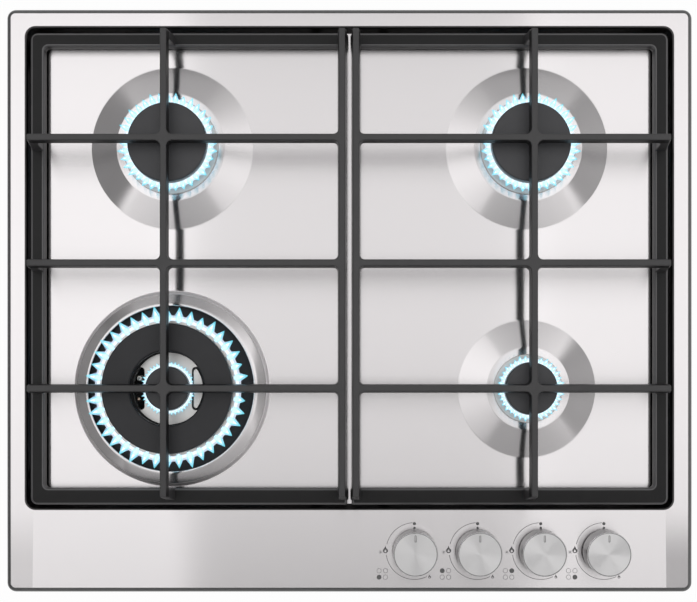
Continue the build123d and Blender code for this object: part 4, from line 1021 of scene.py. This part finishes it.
def make_flames():
    settings = bpy.context.scene.cooktop_flame
    probes = [p for pair in probe_places() for p in pair]
    rings = []
    for name, b in BURNERS.items():
        reach = (settings.small if b["cap"] > 30 else settings.little) * 1000
        half = 2.4 if b["cap"] > 30 else 1.6
        rings.append((name, [(b["x"], b["y"], b["ports"], b["cap"] + 0.7, reach, 68.0, 72.5, half, 0.5)]))
    x, y = WOK["x"], WOK["y"]
    rings.append(("wok", [(x, y, 40, 57.4, settings.outer * 1000, 68.4, 74.5, 3.0, 0.46),
                          (x, y, 44, 19.6, settings.inner * 1000, 68.0, 69.2, 1.0, 0.5)]))
    for name, groups in rings:
        shells = {kind: Shell() for kind in (*JET_PARTS, "base", "haze")}
        for values in groups:
            lay_jets(shells, *values, keep_clear=probes)
        for kind, shell in shells.items():
            obj = piece(f"{name}_flame_{kind}", shell, f"{name}_spreader", [FINISHES[f"flame_{kind}"]], smooth=80)
            obj.visible_shadow = False


# ---- knobs and dial marks ----
def make_knobs():
    settings = bpy.context.scene.cooktop_knob
    groove = settings.groove * 1000
    for i, x in enumerate(KNOB_XS, 1):
        shell = Shell()
        # Painted shade: the side and the indicator's floor take the darker side metal
        shell.finish = 0
        low = [(0, 55.4), (18.7, 55.4), (19.25, 55.95), (19.25, 73.2)]
        rings = shell.lathe(low, 128, x, KNOB_Y)
        shell.finish = 2
        bevel = [(19.25, 73.2), (19.15, 73.8), (18.95, 74.2), (18.65, 74.4), (groove + 0.25, 74.4)]
        more = shell.lathe(bevel, 128, x, KNOB_Y)
        shell.finish = 3
        shell.lathe([(groove + 0.25, 74.4), (groove + 0.2, 74.0), (groove - 0.2, 74.0), (groove - 0.25, 74.35)],
                    128, x, KNOB_Y)
        shell.finish = 1
        face = shell.loop(circle(groove - 0.25, 74.35, 128, x, KNOB_Y))
        pill = pill_outline(x, KNOB_Y + 11.2, KNOB_Y + 15.6, 0.85)
        edge = shell.loop([(px, py, 74.35) for px, py in pill])
        shell.fill(face, [edge])
        shell.finish = 3
        shrunk = pill_outline(x, KNOB_Y + 11.2, KNOB_Y + 15.6, 0.6)
        floor = shell.loop([(px, py, 73.95) for px, py in shrunk])
        shell.strip(edge, floor)
        shell.finish = 0
        shell.face(floor)
        obj = piece(f"knob_{i}_turned", shell, f"knob_{i}",
                    [FINISHES["knob_side_painted_shade"], FINISHES["knob_face"], FINISHES["knob_bevel"], FINISHES["groove"]],
                    origin=(x, KNOB_Y, 74.4), smooth=50, replaces=[f"knob_{i}"])


def pill_outline(x, y0, y1, half, steps=6):
    top = [(x + half * cos(pi * k / steps), y1 + half * sin(pi * k / steps)) for k in range(steps + 1)]
    low = [(x - half * cos(pi * k / steps), y0 - half * sin(pi * k / steps)) for k in range(steps + 1)]
    return top + low


MARK_Z = RIM_Z + 0.04


def lay_ring(shell, x, y, radius, width, start=0.0, end=360.0, steps=48):
    """A printed ring or arc; angles in degrees, counterclockwise from +X."""
    closed = end - start >= 360
    count = steps if closed else steps + 1
    loops = []
    for r in (radius - width / 2, radius + width / 2):
        loops.append([(x + r * cos(radians(start + (end - start) * k / steps)),
                       y + r * sin(radians(start + (end - start) * k / steps)), MARK_Z) for k in range(count)])
    a, b = shell.loop(loops[0]), shell.loop(loops[1])
    shell.strip(a, b, closed)


def lay_dot(shell, x, y, radius, sides=24):
    shell.face(shell.loop(circle(radius, MARK_Z, sides, x, y)))


def lay_flame(shell, x, y, scale):
    """A flame's mark with a light middle."""
    loop = shell.loop([(x + px * scale, y + py * scale, MARK_Z) for px, py in FLAME_MARK])
    hollow = shell.loop([(x + px * scale * 0.42, y + (py * 0.42 - 0.32) * scale, MARK_Z) for px, py in FLAME_MARK])
    shell.fill(loop, [hollow])


FLAME_MARK = [(0.0, -1.0), (0.45, -0.85), (0.72, -0.5), (0.74, -0.1), (0.55, 0.25), (0.42, 0.05), (0.34, 0.35),
              (0.12, 0.8), (-0.12, 1.15), (-0.10, 0.75), (-0.34, 0.42), (-0.62, 0.05), (-0.72, -0.35),
              (-0.5, -0.8)]
FILLED = [(0, 1), (0, 0), (1, 0), (1, 1)]


def make_marks():
    shell = Shell()
    for i, x in enumerate(KNOB_XS):
        lay_dot(shell, x, KNOB_Y + 23.9, 1.4)
        lay_dot(shell, x, KNOB_Y + 20.2, 1.1)
        lay_ring(shell, x, KNOB_Y, 24.8, 0.45, 94, 166)
        lay_ring(shell, x, KNOB_Y, 24.8, 0.45, 188, 296)
        lay_flame(shell, x - 25.4, KNOB_Y + 1.2, 3.1)
        lay_flame(shell, x + 13.2, KNOB_Y - 22.3, 1.7)
        for k in range(4):
            a = radians(45 * k)
            cx, cy = x - 29.6, KNOB_Y - 0.9
            dx, dy = 1.8 * cos(a), 1.8 * sin(a)
            wx, wy = -0.11 * sin(a), 0.11 * cos(a)
            shell.face(shell.loop([(cx - dx - wx, cy - dy - wy, MARK_Z), (cx + dx - wx, cy + dy - wy, MARK_Z),
                                   (cx + dx + wx, cy + dy + wy, MARK_Z), (cx - dx + wx, cy - dy + wy, MARK_Z)]))
        for col in range(2):
            for row in range(2):
                cx, cy = x - 30.9 + 5.6 * col, KNOB_Y - 17.2 - 5.6 * row
                lay_ring(shell, cx, cy, 1.95, 0.32, steps=28)
                if FILLED[i] == (col, row):
                    lay_dot(shell, cx, cy, 1.8)
    work = piece("dial_marks", shell, "hob", [FINISHES["print"]], closed=False)
    flat = bmesh.new()
    flat.from_mesh(work.data)
    for f in flat.faces:
        if f.normal.z < 0:
            f.normal_flip()
    flat.to_mesh(work.data)
    flat.free()


# ---- pieces that keep the frame's own shape ----
def dress_frame_nodes():
    slots = {row["node"]: row["material_slot"] for row in frame["record"]["subparts"]}
    for name, obj in frame["nodes"].items():
        finish = FINISHES[SLOT_FINISH[slots[name]]]
        if not obj.data.materials:
            obj.data.materials.append(finish)
        for place in obj.material_slots:
            place.material = finish


# ---- stage ----
def stage_box(name, x, y, z, width, depth, power, tilt=(0, 0, 0), glossy=True):
    data = bpy.data.lights.new(name, "AREA")
    data.shape = "RECTANGLE"
    data.size, data.size_y = width, depth
    data.energy = power
    lamp = bpy.data.objects.new(name, data)
    bpy.context.scene.collection.objects.link(lamp)
    lamp.location = (x, y, z)
    lamp.rotation_euler = tilt
    lamp.visible_camera = False
    lamp.visible_glossy = glossy
    return lamp


def card(name, corners, material):
    """A flat sheet of the stage."""
    mesh = bpy.data.meshes.new(name)
    mesh.from_pydata(corners, [], [(0, 1, 2, 3)])
    mesh.materials.append(material)
    obj = bpy.data.objects.new(name, mesh)
    bpy.context.scene.collection.objects.link(obj)
    return obj


def pale_floor():
    f = Finish("pale_floor")
    vector = f.place()
    f.colour(f.mix(f.noise(40.0, vector), (0.88, 0.88, 0.88), (0.9, 0.9, 0.9)))
    f.set(Roughness=0.9)
    f.shader.inputs["Specular IOR Level"].default_value = 0.0
    glow = f.add("ShaderNodeEmission")
    glow.inputs["Strength"].default_value = 1.0
    path = f.add("ShaderNodeLightPath")
    seen = see_through(f, path)
    part = f.add("ShaderNodeMath", operation="MULTIPLY")
    part.inputs[1].default_value = 0.965
    f.link(seen, part.inputs[0])
    both = f.add("ShaderNodeMixShader")
    f.link(part.outputs[0], both.inputs[0])
    f.link(f.shader.outputs[0], both.inputs[1])
    f.link(glow.outputs[0], both.inputs[2])
    f.link(both.outputs[0], f.tree.nodes["Material Output"].inputs["Surface"])
    return f.material


def see_through(f, path):
    """1 for camera, glossy and transmission rays, else 0."""
    first = f.add("ShaderNodeMath", operation="MAXIMUM")
    f.link(path.outputs["Is Camera Ray"], first.inputs[0])
    f.link(path.outputs["Is Glossy Ray"], first.inputs[1])
    second = f.add("ShaderNodeMath", operation="MAXIMUM")
    f.link(first.outputs[0], second.inputs[0])
    f.link(path.outputs["Is Transmission Ray"], second.inputs[1])
    return second.outputs[0]


class WorldNodes:
    """The world's nodes, with the same small calls as a finish."""

    def __init__(self):
        world = bpy.data.worlds.new("studio")
        bpy.context.scene.world = world
        world.use_nodes = True
        self.tree = world.node_tree

    add = Finish.add
    link = Finish.link


def make_stage():
    scene = bpy.context.scene
    settings = scene.cooktop_stage
    card("floor", [(-6, -6, -0.0004), (6, -6, -0.0004), (6, 6, -0.0004), (-6, 6, -0.0004)], pale_floor())
    w = WorldNodes()
    back = w.tree.nodes["Background"]
    back.inputs["Strength"].default_value = 0.62
    back.inputs["Color"].default_value = (1, 1, 1, 1)
    white = w.add("ShaderNodeBackground")
    white.inputs["Color"].default_value = (1, 1, 1, 1)
    white.inputs["Strength"].default_value = 1.0
    path = w.add("ShaderNodeLightPath")
    both = w.add("ShaderNodeMixShader")
    w.link(see_through(w, path), both.inputs[0])
    w.link(back.outputs[0], both.inputs[1])
    w.link(white.outputs[0], both.inputs[2])
    w.link(both.outputs[0], w.tree.nodes["World Output"].inputs["Surface"])
    stage_box("key", 0.25, 0.5, 1.7, 1.4, 1.0, 4.0 * settings.key, (radians(-16), radians(8), 0), glossy=False)
    for name, sign in (("left_box", -1), ("right_box", 1)):
        area = 0.95 * 2.4
        stage_box(name, sign * 0.85, 0.1, 1.65, 0.95, 2.4, settings.boxes * area * pi * (1 - 0.06 * sign),
                  (0, sign * radians(25), 0))
    top = stage_box("top_box", 0.0, 0.25, 2.2, 1.05, 1.5, settings.top * 1.05 * 1.5 * pi)
    top.visible_diffuse = False
    flags = {  # grey, and four corners: those at the sides, then those in front and behind
        "left_flag": (0.42, [(-1.5, -1.6, 0.1), (-1.5, 1.8, 0.1), (-1.5, 1.8, 1.75), (-1.5, -1.6, 1.75)]),
        "right_flag": (0.70, [(1.5, -1.6, 0.85), (1.5, 1.8, 0.85), (1.5, 1.8, 1.75), (1.5, -1.6, 1.75)]),
        "front_flag": (0.62, [(-1.6, -0.5, 2.25), (1.6, -0.5, 2.25), (1.6, -2.2, 0.9), (-1.6, -2.2, 0.9)]),
        "rear_flag": (0.50, [(-1.4, 1.5, 0.7), (1.4, 1.5, 0.7), (1.4, 1.3, 1.8), (-1.4, 1.3, 1.8)]),
    }
    for name, (grey, corners) in flags.items():
        flag = Finish(name)
        flag.colour(flag.mix(flag.noise(10.0, flag.place()), (grey * 0.96,) * 3, (grey * 1.04,) * 3))
        flag.set(Roughness=1.0)
        sheet = card(name, corners, flag.material)
        sheet.visible_camera = False
        sheet.visible_diffuse = False
        sheet.visible_shadow = False
        sheet.visible_transmission = False
    data = bpy.data.cameras.new("camera")
    data.sensor_width = 36
    data.lens = settings.lens
    data.shift_x, data.shift_y = -0.0194, 0.1306
    data.clip_start = 0.01
    camera = bpy.data.objects.new("camera", data)
    scene.collection.objects.link(camera)
    camera.location = (0.011, -0.080, RIM_Z / 1000 + settings.camera_height)
    scene.camera = camera
    scene.view_settings.view_transform = "Standard"


# ---- operators ----
class COOKTOP_OT_finishes(bpy.types.Operator):
    """Make the finishes and give them to the frame's own nodes"""
    bl_idname = "cooktop.finishes"
    bl_label = "Finishes"

    def execute(self, context):
        make_finishes()
        dress_frame_nodes()
        return {"FINISHED"}


class COOKTOP_OT_plate(bpy.types.Operator):
    """Press the top plate: rolled edge, well and burner cones"""
    bl_idname = "cooktop.plate"
    bl_label = "Top plate"

    def execute(self, context):
        make_plate()
        return {"FINISHED"}


class COOKTOP_OT_supports(bpy.types.Operator):
    """Cast the two pan supports"""
    bl_idname = "cooktop.supports"
    bl_label = "Pan supports"

    def execute(self, context):
        make_supports()
        return {"FINISHED"}


class COOKTOP_OT_burners(bpy.types.Operator):
    """Cast the small burners' cups, flame spreaders and caps"""
    bl_idname = "cooktop.burners"
    bl_label = "Small burners"

    def execute(self, context):
        make_cups()
        make_spreaders()
        make_caps()
        return {"FINISHED"}


class COOKTOP_OT_wok(bpy.types.Operator):
    """Cast the wok burner's cup and double crown"""
    bl_idname = "cooktop.wok"
    bl_label = "Wok burner"

    def execute(self, context):
        make_wok()
        return {"FINISHED"}


class COOKTOP_OT_probes(bpy.types.Operator):
    """Set the ignition electrodes and thermocouples"""
    bl_idname = "cooktop.probes"
    bl_label = "Electrodes and thermocouples"

    def execute(self, context):
        make_probes()
        return {"FINISHED"}


class COOKTOP_OT_flames(bpy.types.Operator):
    """Light the burners"""
    bl_idname = "cooktop.flames"
    bl_label = "Flames"

    def execute(self, context):
        make_flames()
        return {"FINISHED"}


class COOKTOP_OT_knobs(bpy.types.Operator):
    """Turn the knobs"""
    bl_idname = "cooktop.knobs"
    bl_label = "Knobs"

    def execute(self, context):
        make_knobs()
        return {"FINISHED"}


class COOKTOP_OT_marks(bpy.types.Operator):
    """Print the dial marks on the front panel"""
    bl_idname = "cooktop.marks"
    bl_label = "Dial marks"

    def execute(self, context):
        make_marks()
        return {"FINISHED"}


class COOKTOP_OT_stage(bpy.types.Operator):
    """Set the floor, the lamps and the camera"""
    bl_idname = "cooktop.stage"
    bl_label = "Stage"

    def execute(self, context):
        make_stage()
        return {"FINISHED"}


OPERATORS = [COOKTOP_OT_finishes, COOKTOP_OT_stage, COOKTOP_OT_plate, COOKTOP_OT_supports, COOKTOP_OT_burners,
             COOKTOP_OT_wok, COOKTOP_OT_probes, COOKTOP_OT_flames, COOKTOP_OT_knobs, COOKTOP_OT_marks]


class COOKTOP_PT_panel(bpy.types.Panel):
    """Settings and steps of the cooktop"""
    bl_idname = "COOKTOP_PT_panel"
    bl_label = "Gas cooktop"
    bl_space_type = "VIEW_3D"
    bl_region_type = "UI"
    bl_category = "Cooktop"

    def draw(self, context):
        layout = self.layout
        for operator in OPERATORS:
            layout.operator(operator.bl_idname)
        for name in GROUPS:
            box = layout.box()
            group = getattr(context.scene, name)
            for key in group.__annotations__:
                box.prop(group, key)


def register():
    for group in GROUPS.values():
        bpy.utils.register_class(group)
    for operator in OPERATORS:
        bpy.utils.register_class(operator)
    bpy.utils.register_class(COOKTOP_PT_panel)
    for name, group in GROUPS.items():
        setattr(bpy.types.Scene, name, PointerProperty(type=group))


def unregister():
    for name in GROUPS:
        delattr(bpy.types.Scene, name)
    bpy.utils.unregister_class(COOKTOP_PT_panel)
    for operator in reversed(OPERATORS):
        bpy.utils.unregister_class(operator)
    for group in reversed(list(GROUPS.values())):
        bpy.utils.unregister_class(group)


def main():
    register()
    for operator in OPERATORS:
        area, name = operator.bl_idname.split(".")
        getattr(getattr(bpy.ops, area), name)()


if __name__ == "__main__":
    main()
